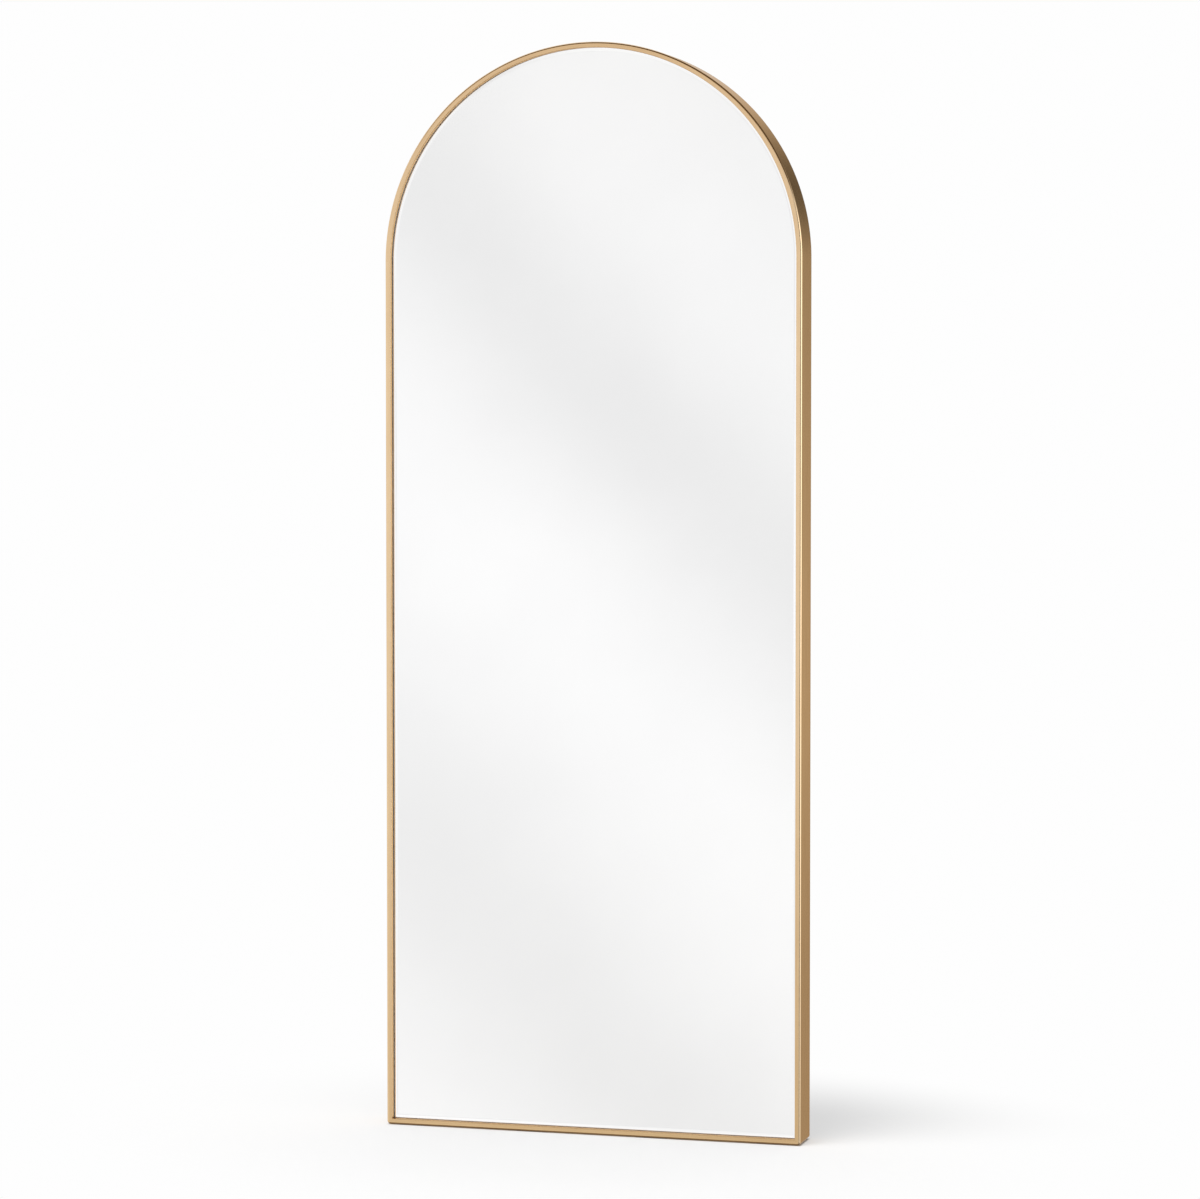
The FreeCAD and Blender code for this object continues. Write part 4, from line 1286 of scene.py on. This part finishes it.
@dataclass
class Fixings:
    """Screws, lugs, studs and nuts at the back of the hoop."""

    placer: Placer
    spring: float
    screw_nodes: tuple[str, ...] = ("cover_screws", "lug_screws", "hanger_screws", "bumper_screws")
    screw_length: float = 25 * MM
    head_radius: float = 4.0 * MM
    head_height: float = 2.2 * MM
    head_rim: float = 0.99 * MM
    head_crown: float = 2.2 * MM
    shank_radius: float = 2.0 * MM
    point_length: float = 4 * MM
    point_radius: float = 0.4 * MM
    recess_width: float = 0.9 * MM
    recess_length: float = 4.4 * MM
    recess_depth: float = 1.5 * MM
    recess_taper: float = 0.35
    lug_gauge: float = 1.5 * MM
    lug_bend: float = 2.2 * MM
    lug_easing: float = 0.25 * MM
    lug_length: float = 18 * MM
    lug_cover_leg: float = 18 * MM
    lug_wall_leg: float = 8.8 * MM
    stud_radius: float = 2.0 * MM
    stud_length: float = 8.0 * MM
    stud_plain: float = 1.4 * MM
    stud_pitch: float = 0.7 * MM
    thread_root: float = 0.86
    nut_width: float = 7 * MM
    nut_height: float = 3.2 * MM
    nut_play: float = 0.05 * MM
    nut_land: float = 0.98
    nut_chamfer: float = 30.0
    below_stiles: float = 0.1

    def screw(self) -> bpy.types.Mesh:
        """A pan-head screw with a cross recess, its head above z = 0.

        Returns:
            The mesh.
        """
        length, shank = self.screw_length, self.shank_radius
        radius, height = self.head_radius, self.head_height
        turned = rounded_profile(
            [(0.0, -length, 0), (self.point_radius, -length, 0),
             (shank, -length + self.point_length, 0.5 * MM), (shank, 0.0, 0),
             (radius, 0.0, 0.3 * MM), (radius, self.head_rim, 1.0 * MM),
             (self.head_crown, height, 1.6 * MM), (0.0, height, 0)],
            4,
        )
        body = placed("screw_body", lathe("screw_body", turned, 32))
        cutter_mesh = bpy.data.meshes.new("cross")
        hand = bmesh.new()
        for turn in (0.0, math.pi / 2):
            made = bmesh.ops.create_cube(hand, size=1.0)["verts"]
            for vertex in made:
                deep = vertex.co.z < 0
                reach = self.recess_length * (self.recess_taper if deep else 1.0)
                vertex.co = Vector((vertex.co.x * reach, vertex.co.y * self.recess_width,
                                    height - self.recess_depth if deep else height + 1 * MM))
            bmesh.ops.rotate(hand, verts=made, cent=(0, 0, 0), matrix=Matrix.Rotation(turn, 3, "Z"))
        hand.to_mesh(cutter_mesh)
        hand.free()
        cutter = placed("screw_cutter", cutter_mesh)
        cut = body.modifiers.new("recess", "BOOLEAN")
        cut.object = cutter
        cut.solver = "EXACT"
        cut.use_self = True
        return smooth(baked(body, "screw", cutter), 38.0)

    def lug(self) -> bpy.types.Mesh:
        """A folded lug: its long leg lies on the cover and its short leg stands on the wall.

        Returns:
            The mesh.
        """
        gauge, bend = self.lug_gauge, self.lug_bend
        long_leg, short_leg = self.lug_cover_leg, self.lug_wall_leg
        outside = rounded_profile([(long_leg, 0.0, 0), (0.0, 0.0, bend), (0.0, short_leg, 0)], 6)
        inside = rounded_profile(
            [(gauge, short_leg, 0), (gauge, gauge, bend - gauge), (long_leg, gauge, 0)], 6)
        return slab("lug", outside + inside, self.lug_length, self.lug_easing)

    def nut(self) -> bpy.types.Mesh:
        """A hexagon nut along Z with chamfered corners.

        Returns:
            The mesh.
        """
        steps = 48
        flat = self.nut_width / 2
        bore = self.stud_radius + self.nut_play
        chamfer = math.tan(math.radians(self.nut_chamfer))
        rows = []
        levels = ((0.0, False), (0.0, True), (self.nut_height, True), (self.nut_height, False))
        for height, sharp in levels:
            ring = []
            for step in range(steps):
                turn = 2 * math.pi * step / steps
                corner = flat / math.cos((turn % (math.pi / 3)) - math.pi / 6)
                radius = corner if sharp else flat * self.nut_land
                fall = (corner - flat) * chamfer if sharp else 0.0
                level = height + fall if height == 0.0 else height - fall
                ring.append((radius * math.cos(turn), radius * math.sin(turn), level))
            rows.append(ring)
        for level in (self.nut_height, 0.0):
            rows.append([(bore * math.cos(2 * math.pi * step / steps),
                          bore * math.sin(2 * math.pi * step / steps), level) for step in range(steps)])
        return ring_mesh("nut", rows)

    def stud(self) -> bpy.types.Mesh:
        """A threaded stud along Z.

        Returns:
            The mesh.
        """
        radius, pitch = self.stud_radius, self.stud_pitch
        profile = [(0.0, 0.0), (radius, 0.0), (radius, self.stud_plain)]
        level = self.stud_plain
        while level + 1.5 * pitch < self.stud_length:
            profile.append((radius * self.thread_root, level + pitch / 2))
            profile.append((radius, level + pitch))
            level += pitch
        profile += [(radius * 0.8, self.stud_length), (0.0, self.stud_length)]
        return lathe("stud", profile, 20)

    def lug_spots(self) -> list[tuple[Vector, float]]:
        """Place of each lug's folded corner and the angle that faces inwards, from its own box.

        Returns:
            Places and angles in radians.
        """
        spots = []
        for low, high in solids_of("retaining_lugs"):
            middle = (low + high) / 2
            if middle.z > self.spring:
                angle = math.atan2(self.spring - middle.z, -middle.x)
                half = self.lug_cover_leg / 2
                corner = Vector((middle.x - half * math.cos(angle), low.y,
                                 middle.z - half * math.sin(angle)))
            elif low.z < self.below_stiles:
                angle = math.pi / 2
                corner = Vector((middle.x, low.y, low.z))
            else:
                angle = 0.0 if middle.x < 0 else math.pi
                corner = Vector((low.x if middle.x < 0 else high.x, low.y, middle.z))
            spots.append((corner, angle))
        return spots

    def build(self, effects: Effects) -> None:
        """Makes every fixing that shows at the back, and dresses the sealed joint screws.

        Args:
            effects: The shared shader groups.
        """
        zinc = ZincSteel().material(effects)
        for seed, node in enumerate(self.screw_nodes, start=11):
            spots = []
            for low, high in solids_of(node):
                spot = (low + high) / 2
                spot.y = high.y - self.head_height
                spots.append((spot, Facing.BACK.value))
            self.placer.spread(f"{node}_detailed", self.screw(), spots, zinc, "zinc_steel", (node,),
                               math.pi, seed)
        lugs, studs, nuts = [], [], []
        stud_level = (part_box("weld_studs")[0].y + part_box("weld_studs")[1].y) / 2
        for corner, angle in self.lug_spots():
            inward = Vector((math.cos(angle), 0.0, math.sin(angle)))
            turn = Matrix.Rotation(-angle, 3, "Y")
            lugs.append((corner, turn.to_euler()))
            along = (turn @ Matrix.Rotation(math.pi / 2, 3, "Y")).to_euler()
            foot = Vector((corner.x, stud_level, corner.z))
            studs.append((foot, along))
            nuts.append((foot + inward * self.lug_gauge, along))
        self.placer.spread("lugs_folded", self.lug(), lugs, zinc, "zinc_steel", ("retaining_lugs",))
        self.placer.spread("studs_threaded", self.stud(), studs, zinc, "zinc_steel", ("weld_studs",))
        self.placer.spread("nuts_chamfered", self.nut(), nuts, zinc, "zinc_steel", ("lug_nuts",))
        dress("joint_screws", zinc)


def slab(name: str, outline: list[tuple[float, float]], length: float, easing: float,
         end: float = 0.0, corner: float = 0.0) -> bpy.types.Mesh:
    """A folded sheet: its side view drawn out along Z about its middle, with its edges eased.

    Args:
        name: The mesh's name.
        outline: X and y of each point of the side view.
        length: Length along Z.
        easing: How much is taken off the edges of both cut sides.
        end: The y of an end whose corners are rounded.
        corner: Radius of those corners; zero leaves them square.

    Returns:
        The closed mesh.
    """
    hand = bmesh.new()
    rings = []
    for level in (-length / 2, length / 2):
        rings.append([hand.verts.new((x, y, level)) for x, y in outline])
    total = len(outline)
    for index in range(total):
        after = (index + 1) % total
        hand.faces.new([rings[0][index], rings[0][after], rings[1][after], rings[1][index]])
    caps = [hand.faces.new(ring) for ring in rings]
    if corner:
        through = [edge for cap in caps for edge in cap.edges
                   if all(abs(vertex.co.y - end) < 0.001 * MM for vertex in edge.verts)]
        ease(hand, through, corner, 8)
    bmesh.ops.recalc_face_normals(hand, faces=hand.faces)
    hand.normal_update()
    rims = []
    for edge in hand.edges:
        cut_sides = [face for face in edge.link_faces if abs(face.normal.z) > 0.05]
        if len(cut_sides) == 1 and edge.calc_face_angle(0.0) > math.radians(40):
            rims.append(edge)
    ease(hand, rims, easing, 2)
    return closed_mesh(name, hand, 40.0)


def ring_mesh(name: str, rows: list[list[tuple[float, float, float]]]) -> bpy.types.Mesh:
    """Joins rings of points, one after another and the last to the first.

    Args:
        name: The mesh's name.
        rows: The rings, each with as many points.

    Returns:
        The closed mesh.
    """
    hand = bmesh.new()
    rings = [[hand.verts.new(point) for point in row] for row in rows]
    for lower, upper in zip(rings, rings[1:] + rings[:1]):
        for step in range(len(lower)):
            after = (step + 1) % len(lower)
            hand.faces.new([lower[step], lower[after], upper[after], upper[step]])
    return closed_mesh(name, hand, 30.0)


@dataclass
class Hangers:
    """A strap and a D-shaped ring on each side of the back."""

    gauge: float = 1.5 * MM
    width: float = 16 * MM
    plate_corner: float = 3 * MM
    wire: float = 1.75 * MM
    play: float = 0.08 * MM
    bar: float = 8.5 * MM
    ring_corner: float = 4 * MM
    leg: float = 2 * MM
    axis_back: float = 4.2 * MM
    length: float = 36 * MM
    neck_drop: float = 3.2 * MM
    roll: tuple[int, int, int] = (-25, 261, 11)
    easing: float = 0.2 * MM
    wire_sides: int = 24

    def strap(self, name: str, axis: Vector, base: float) -> bpy.types.Mesh:
        """The strap: a plate on the cover whose top end is rolled round the ring's bar.

        Args:
            name: The mesh's name.
            axis: Middle of the ring's bar.
            base: Depth of the cover's face.

        Returns:
            The mesh, in place.
        """
        inner = self.wire + self.play
        outer = inner + self.gauge
        neck = -outer - self.neck_drop
        turns = [math.radians(value) for value in range(*self.roll)]
        outline = [(0.0, -self.length), (0.0, neck)]
        for radius, way in ((outer, 1), (inner, -1)):
            for turn in turns[::way]:
                outline.append((self.axis_back - radius * math.cos(turn), radius * math.sin(turn)))
        outline += [(self.gauge, neck), (self.gauge, -self.length)]
        mesh = slab(name, outline, self.width, self.easing, -self.length, self.plate_corner)
        mesh.transform(Matrix(((0, 0, 1, axis.x), (1, 0, 0, base), (0, 1, 0, axis.z), (0, 0, 0, 1))))
        return mesh

    def ring(self, name: str, axis: Vector, finish: bpy.types.Material) -> bpy.types.Mesh:
        """The ring, swept along its D-shaped path.

        Args:
            name: The mesh's name.
            axis: Middle of the ring's straight bar.
            finish: The wire's finish.

        Returns:
            The mesh, in place.
        """
        wide = self.bar + self.ring_corner
        low = self.ring_corner + self.leg
        points = [(0.0, 0.0), (self.bar, 0.0)]
        for centre_x, centre_z, radius, start, span in (
            (self.bar, -self.ring_corner, self.ring_corner, 90, -90),
            (0.0, -low, wide, 0, -180),
            (-self.bar, -self.ring_corner, self.ring_corner, 180, -90),
        ):
            steps = max(8, int(abs(span) / 5))
            for step in range(steps + 1):
                turn = math.radians(start + span * step / steps)
                points.append((centre_x + radius * math.cos(turn), centre_z + radius * math.sin(turn)))
        curve = bpy.data.curves.new(f"{name}_path", "CURVE")
        curve.dimensions = "3D"
        spline = curve.splines.new("POLY")
        kept = [points[0]]
        for point in points[1:]:
            if math.hypot(point[0] - kept[-1][0], point[1] - kept[-1][1]) > 0.01 * MM:
                kept.append(point)
        spline.points.add(len(kept) - 1)
        for control, (x, z) in zip(spline.points, kept):
            control.co = (axis.x + x, axis.y, axis.z + z, 1.0)
        spline.use_cyclic_u = True
        carrier = placed(f"{name}_carrier", curve)
        modifier = carrier.modifiers.new("wire", "NODES")
        modifier.node_group = wire_tree()
        set_inputs(modifier, {"Wire radius": self.wire, "Sides": self.wire_sides, "Finish": finish})
        mesh = baked(carrier, name)
        mesh.shade_smooth()
        return mesh

    def build(self, effects: Effects) -> None:
        """Makes both hangers; each ring rides on its own body.

        Args:
            effects: The shared shader groups.
        """
        zinc = ZincSteel().material(effects)
        for side in ("left", "right"):
            low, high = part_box(f"hanger_ring_{side}")
            plate_low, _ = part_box(f"hanger_strap_{side}")
            axis = Vector(((low.x + high.x) / 2, (low.y + high.y) / 2, high.z - self.wire))
            strap = self.strap(f"strap_{side}_mesh", axis, plate_low.y)
            ring = self.ring(f"ring_{side}_mesh", axis, zinc)
            finished_object(f"strap_{side}", strap, zinc, BODY, "zinc_steel", f"hanger_strap_{side}")
            finished_object(f"ring_{side}_wire", ring, zinc, f"ring_{side}", "zinc_steel",
                            f"hanger_ring_{side}")


def wire_tree() -> bpy.types.NodeTree:
    """The tree that sweeps a round wire along a path; built once.

    Returns:
        The tree.
    """
    if "round_wire" in bpy.data.node_groups:
        return bpy.data.node_groups["round_wire"]
    graph, given, result = new_group(
        "round_wire",
        "GeometryNodeTree",
        {
            "Geometry": ("NodeSocketGeometry", None),
            "Wire radius": ("NodeSocketFloat", 1.75 * MM),
            "Sides": ("NodeSocketInt", 24),
            "Finish": ("NodeSocketMaterial", None),
        },
        {"Geometry": "NodeSocketGeometry"},
    )
    circle = graph.add(
        "GeometryNodeCurvePrimitiveCircle",
        {"Resolution": given.outputs["Sides"], "Radius": given.outputs["Wire radius"]},
    )
    tube = graph.add(
        "GeometryNodeCurveToMesh",
        {"Curve": given.outputs["Geometry"], "Profile Curve": circle.outputs[0]},
    )
    end_tree(graph, tube.outputs[0], given, result)
    return graph.tree


@dataclass
class RubberParts:
    """Foot pads, wall bumpers and the blocks that carry the glass."""

    placer: Placer
    tip_radius: float = 9 * MM
    base_radius: float = 11 * MM
    flange: float = 1.2 * MM
    rim: float = 2.5 * MM
    seat: float = 5 * MM
    hole: float = 2.05 * MM
    easing: float = 0.8 * MM
    pad_corner: float = 4 * MM
    pad_easing: float = 0.4 * MM

    def bumper(self, height: float) -> bpy.types.Mesh:
        """A tapered bumper with a well for its screw.

        Args:
            height: From the cover to the wall face.

        Returns:
            The mesh.
        """
        well = self.tip_radius - self.rim
        profile = rounded_profile(
            [(self.hole, 0.0, 0), (self.base_radius, 0.0, 0.3 * MM),
             (self.base_radius, self.flange, 0.5 * MM), (self.tip_radius, height, self.easing),
             (well, height, self.easing), (well, self.seat, 0.6 * MM), (self.hole, self.seat, 0)],
            6,
        )
        return lathe("bumper", profile, 48)

    def pad(self, size: Vector) -> bpy.types.Mesh:
        """A thin pad with rounded corners and eased edges.

        Args:
            size: Its length, width and thickness.

        Returns:
            The mesh, standing on its origin.
        """
        hand = bmesh.new()
        bmesh.ops.create_cube(hand, size=1.0)
        for vertex in hand.verts:
            x, y, z = vertex.co
            vertex.co = Vector((x * size.x, y * size.y, (z + 0.5) * size.z))

        def rise(edge: bmesh.types.BMEdge) -> float:
            """How far an edge climbs."""
            return abs(edge.verts[0].co.z - edge.verts[1].co.z)

        upright = [edge for edge in hand.edges if rise(edge) > size.z / 2]
        ease(hand, upright, self.pad_corner, 6)
        rims = [edge for edge in hand.edges
                if rise(edge) < 0.001 * MM and sum(abs(face.normal.z) for face in edge.link_faces) > 0.5]
        ease(hand, rims, self.pad_easing, 2)
        return closed_mesh("pad", hand, 40.0)

    def build(self, effects: Effects) -> None:
        """Makes bumpers and pads, and dresses the hidden blocks.

        Args:
            effects: The shared shader groups.
        """
        rubber = MouldedRubber().material(effects)
        low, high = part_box("wall_bumpers")
        spots = []
        for first, last in solids_of("wall_bumpers"):
            spot = (first + last) / 2
            spot.y = low.y
            spots.append((spot, Facing.BACK.value))
        self.placer.spread("bumpers_moulded", self.bumper(high.y - low.y), spots, rubber, "dark_rubber",
                           ("wall_bumpers",))
        spots = []
        for low, high in solids_of("foot_pads"):
            spot = (low + high) / 2
            spot.z = low.z
            spots.append((spot, Facing.UP.value))
        self.placer.spread("pads_moulded", self.pad(high - low), spots, rubber, "dark_rubber",
                           ("foot_pads",))
        dress("setting_blocks", rubber)


# ---------------------------------------------------------------------------------------------
# Studio
# ---------------------------------------------------------------------------------------------


@dataclass(frozen=True)
class Card:
    """A soft-edged panel of the studio's surroundings, seen only in reflections.

    Azimuth is measured in degrees from straight in front of the mirror towards +X, elevation from
    the horizon.  The amount is added to the white of the studio, so that a dark card is negative.
    """

    azimuth: tuple[float, float]
    elevation: tuple[float, float]
    softness: float
    amount: Colour


@dataclass(frozen=True)
class Glow:
    """A soft round patch of the surroundings; a greater tightness is a smaller patch."""

    direction: tuple[float, float, float]
    tightness: float
    amount: Colour


@dataclass(frozen=True)
class Smoke:
    """A grey streak that slants down to the right in the mirror; sizes in pixels of the photograph."""

    middle: float
    spread: float
    depth: float


@dataclass
class Studio:
    """Pale floor, soft light, reflections and the camera."""

    front: float
    footprint: Vector
    azimuth: float = 15.957
    distance: float = 6.728841
    height: float = 1.273141
    side_step: float = 0.017805
    dip: float = 2.224
    focal_pixels: float = 3823.466
    centre_row: float = 565.0
    image: tuple[int, int] = (1200, 1199)
    sensor: float = 36.0
    view_reach: float = 200.0
    backdrop: float = 0.99
    ambient: float = 0.6
    sun_share: float = 0.4
    sun_angle: float = 40.0
    sun_height: float = 57.0
    sun_azimuth: float = 34.0
    floor_reach: float = 40.0
    floor_glow: float = 0.42
    floor_fade: tuple[float, float] = (0.45, 1.05)
    floor_squash: float = 1.35
    # Size and fade of the painted contact shadow under the mirror.
    contact_inset: float = 2 * MM
    contact_fade: float = 4 * MM
    dimmest: float = 0.03
    surround: float = 0.99
    smoke_clear: float = 1.03
    smoke_drift: float = 60.0
    drift_scale: float = 9.0
    smoke_grain: float = 0.022
    grain_scale: float = 24.0
    smoke: tuple[Smoke, ...] = (
        Smoke(-230.0, 165.0, 0.155),
        Smoke(430.0, 215.0, 0.135),
        Smoke(-620.0, 210.0, 0.07),
    )
    window: Card = Card((-20.2, -12.0), (-14.0, 9.0), 1.2, grey(0.0))
    cards: tuple[Card, ...] = (
        Card((20.0, 58.0), (-70.0, 14.0), 8.0, grey(-0.86)),
        Card((60.0, 138.0), (-8.0, 14.0), 10.0, grey(0.95)),
        Card((-70.0, 160.0), (22.0, 90.0), 9.0, (-0.86, -0.90, -0.94)),
        Card((-190.0, 190.0), (-95.0, -34.0), 10.0, (-0.74, -0.78, -0.82)),
        Card((-40.0, 2.0), (-60.0, -7.0), 9.0, (-0.22, -0.28, -0.40)),
        Card((-14.0, 6.0), (-22.0, -6.5), 5.0, (-0.12, -0.13, -0.14)),
        Card((-40.0, 4.0), (5.0, 40.0), 6.0, (-0.26, -0.37, -0.50)),
        Card((140.0, 190.0), (-60.0, -6.5), 6.0, (-0.22, -0.23, -0.24)),
    )
    glows: tuple[Glow, ...] = (
        Glow((0.0, 1.0, 0.0), 12.0, grey(-0.40)),
        Glow((0.17, 0.96, 0.215), 52.0, grey(-0.62)),
        Glow((-0.10, 0.96, 0.26), 70.0, (0.12, 0.10, 0.03)),
    )

    def camera(self) -> None:
        """Puts the camera where the photograph was taken from."""
        turn = math.radians(self.azimuth)
        data = bpy.data.cameras.new("camera")
        data.sensor_width = self.sensor
        data.lens = self.focal_pixels / self.image[0] * self.sensor
        data.shift_y = (self.centre_row - self.image[1] / 2) / self.image[0]
        data.clip_end = self.view_reach
        camera = placed("camera", data)
        camera.location = (self.side_step + self.distance * math.sin(turn),
                           self.front - self.distance * math.cos(turn), self.height)
        camera.rotation_euler = (math.radians(90 - self.dip), 0.0, turn)
        bpy.context.scene.camera = camera

    def floor(self) -> None:
        """A white floor that keeps the mirror's shadow, with a painted contact shadow under it, and
        fades into the backdrop.
        """
        mesh = bpy.data.meshes.new("floor")
        reach = self.floor_reach
        corners = [(x * reach, y * reach, 0) for x, y in ((-1, -1), (1, -1), (1, 1), (-1, 1))]
        mesh.from_pydata(corners, [], [(0, 1, 2, 3)])
        floor = placed("floor", mesh)
        material = bpy.data.materials.new("studio_floor")
        material.use_nodes = True
        graph = Graph(material.node_tree)
        graph.tree.nodes.clear()
        place = graph.add("ShaderNodeTexCoord").outputs["Object"]
        far = graph.vector("LENGTH", graph.stretched(place, (1.0, self.floor_squash, 1.0)))
        fade = graph.between(far, *self.floor_fade)
        lit = grey(self.backdrop * (1.0 - self.floor_glow))
        paint = graph.add("ShaderNodeBsdfDiffuse", {"Color": lit})
        # The floor's glow is taken away under the mirror: a painted contact shadow.
        lift = graph.add("ShaderNodeEmission", {"Color": grey(self.backdrop * self.floor_glow),
                                                "Strength": self.clear_of_painted_contact_shadow(graph, place)})
        both = graph.add("ShaderNodeAddShader", {0: paint.outputs[0], 1: lift.outputs[0]})
        glow = graph.add("ShaderNodeEmission", {"Color": grey(self.backdrop)})
        clear = graph.add("ShaderNodeBsdfTransparent")
        light = graph.add("ShaderNodeLightPath").outputs
        near = graph.add("ShaderNodeMixShader", {0: fade, 1: both.outputs[0], 2: glow.outputs[0]})
        seen = graph.math("MAXIMUM", light["Is Glossy Ray"], light["Is Transmission Ray"])
        whole = graph.add("ShaderNodeMixShader", {0: seen, 1: near.outputs[0], 2: clear.outputs[0]})
        graph.add("ShaderNodeOutputMaterial", {0: whole.outputs[0]})
        mesh.materials.append(material)
        floor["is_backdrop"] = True

    def clear_of_painted_contact_shadow(self, graph: Graph, place: bpy.types.NodeSocket) -> bpy.types.NodeSocket:
        """0 under the mirror and 1 a little way off: where it is 0 the floor's glow is gone, a painted
        contact shadow.

        Args:
            graph: The tree.
            place: Position in the world.

        Returns:
            The factor.
        """
        half = (self.footprint.x - self.contact_inset, self.footprint.y - self.contact_inset, 0.0)
        beyond = graph.vector("SUBTRACT", graph.vector("ABSOLUTE", place), half)
        gap = graph.vector("LENGTH", graph.vector("MAXIMUM", beyond))
        return graph.between(gap, 0.0, self.contact_fade, soft=False)

    def world(self) -> None:
        """White behind the mirror, plain soft light on it, and a studio in its reflections."""
        world = bpy.data.worlds.new("studio")
        bpy.context.scene.world = world
        world.use_nodes = True
        graph = Graph(world.node_tree)
        graph.tree.nodes.clear()
        direction = graph.add("ShaderNodeTexCoord").outputs["Generated"]
        parts = graph.add("ShaderNodeSeparateXYZ", {0: direction}).outputs
        forward = graph.math("MULTIPLY", parts[1], -1.0)
        azimuth = graph.math("DEGREES", graph.math("ARCTAN2", parts[0], forward))
        elevation = graph.math("DEGREES", graph.math("ARCSINE", parts[2]))
        light = graph.add("ShaderNodeLightPath").outputs
        studio = grey(1.0)
        for card in self.cards:
            studio = self.added(graph, studio, self.panel(graph, azimuth, elevation, card), card.amount)
        for glow in self.glows:
            studio = self.added(graph, studio, self.patch(graph, direction, glow), glow.amount)
        studio = graph.vector("MAXIMUM", studio, grey(self.dimmest))
        bands = graph.mix(self.panel(graph, azimuth, elevation, self.window), grey(self.surround),
                          self.bands(graph, direction))
        mirrored = graph.mix(light["Is Transmission Ray"], studio, bands)
        plain = graph.mix(light["Is Camera Ray"], grey(self.ambient), grey(self.backdrop))
        reflected = graph.math("MAXIMUM", light["Is Glossy Ray"], light["Is Transmission Ray"])
        background = graph.add("ShaderNodeBackground", {"Color": graph.mix(reflected, plain, mirrored)})
        graph.add("ShaderNodeOutputWorld", {0: background.outputs[0]})

    def added(self, graph: Graph, base: object, mask: object, amount: Colour) -> bpy.types.NodeSocket:
        """A colour with a masked amount added to it."""
        share = graph.add("ShaderNodeVectorMath", {0: amount, "Scale": mask}, operation="SCALE")
        return graph.vector("ADD", base, share.outputs[0])

    def panel(self, graph: Graph, azimuth: object, elevation: object,
              card: Card) -> bpy.types.NodeSocket:
        """How far a direction lies inside a card.

        Args:
            graph: The world's tree.
            azimuth: The direction's azimuth in degrees.
            elevation: Its elevation in degrees.
            card: The card.

        Returns:
            A mask, 0 to 1.
        """
        mask = 1.0
        for angle, (low, high) in ((azimuth, card.azimuth), (elevation, card.elevation)):
            for edge, reach in ((low, card.softness / 2), (high, -card.softness / 2)):
                mask = graph.math("MULTIPLY", mask, graph.between(angle, edge - reach, edge + reach))
        return mask

    def bands(self, graph: Graph, direction: bpy.types.NodeSocket) -> bpy.types.NodeSocket:
        """Soft slanting bands, as a pale room gives in a mirror.

        Args:
            graph: The world's tree.
            direction: Where a reflected ray goes.

        Returns:
            Brightness, a little under one.
        """
        turn = math.radians(self.azimuth)
        dip = math.radians(self.dip)
        slant = Vector((-math.cos(turn), math.sin(turn), -1.0))
        middle = Vector((-math.sin(turn) * math.cos(dip), -math.cos(turn) * math.cos(dip),
                         -math.sin(dip)))
        along = graph.vector("DOT_PRODUCT", direction, tuple(slant))
        pixel = graph.math("SUBTRACT", along, middle.dot(slant))
        pixel = graph.math("MULTIPLY", pixel, self.focal_pixels)
        pixel = graph.math("ADD", pixel, self.centre_row - self.image[0] / 2)
        cloud = graph.noise(direction, self.drift_scale, 3.0, 0.5)
        pixel = graph.math("ADD", pixel, graph.spread(cloud, -self.smoke_drift, self.smoke_drift))
        grain = graph.noise(direction, self.grain_scale, 4.0)
        grain = graph.spread(grain, -self.smoke_grain, self.smoke_grain)
        level = graph.math("ADD", self.smoke_clear, grain)
        for streak in self.smoke:
            off = graph.math("DIVIDE", graph.math("SUBTRACT", pixel, streak.middle), streak.spread)
            square = graph.math("MULTIPLY", off, off)
            shade = graph.math("EXPONENT", graph.math("MULTIPLY", square, -1.0))
            level = graph.math("SUBTRACT", level, graph.math("MULTIPLY", shade, streak.depth))
        return level

    def patch(self, graph: Graph, direction: bpy.types.NodeSocket, glow: Glow) -> bpy.types.NodeSocket:
        """How strongly a glow shows in a direction, 0 to 1.

        Args:
            graph: The world's tree.
            direction: Where a ray looks.
            glow: The patch.

        Returns:
            The strength.
        """
        aim = Vector(glow.direction).normalized()
        toward = graph.vector("DOT_PRODUCT", direction, tuple(aim))
        falloff = graph.math("MULTIPLY", graph.math("SUBTRACT", toward, 1.0), glow.tightness)
        return graph.math("EXPONENT", falloff)

    def sun(self) -> None:
        """One very broad light from the front left, for a soft shadow behind on the right."""
        data = bpy.data.lights.new("broad_light", "SUN")
        lift = math.radians(self.sun_height)
        data.energy = self.sun_share * math.pi / math.sin(lift)
        data.angle = math.radians(self.sun_angle)
        light = placed("broad_light", data)
        light.rotation_euler = (math.radians(90 - self.sun_height), 0.0, math.radians(-self.sun_azimuth))
        light.visible_glossy = False
        light.visible_transmission = False

    def build(self) -> None:
        """Makes the whole studio."""
        self.world()
        self.floor()
        self.sun()
        self.camera()
        bpy.context.scene.view_settings.view_transform = "Standard"


# ---------------------------------------------------------------------------------------------
# The mirror
# ---------------------------------------------------------------------------------------------


def main() -> None:
    """Builds the dressed mirror and its studio."""
    logging.basicConfig(level=logging.INFO, format="%(name)s: %(message)s")
    effects = Effects()
    placer = Placer()
    low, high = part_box("frame_band")
    glass_low, glass_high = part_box("mirror_glass")
    outline = Outline(half_width=high.x, foot=low.z, top=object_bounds()[1].z)
    FrameBand(outline, low.y, high.y).build(effects)
    GlassPackage(outline, glass_low.y, glass_high.y).build(effects)
    Backing().build(effects)
    Fixings(placer, outline.spring).build(effects)
    Hangers().build(effects)
    RubberParts(placer).build(effects)
    Studio(low.y, high).build()


if __name__ == "__main__":
    main()
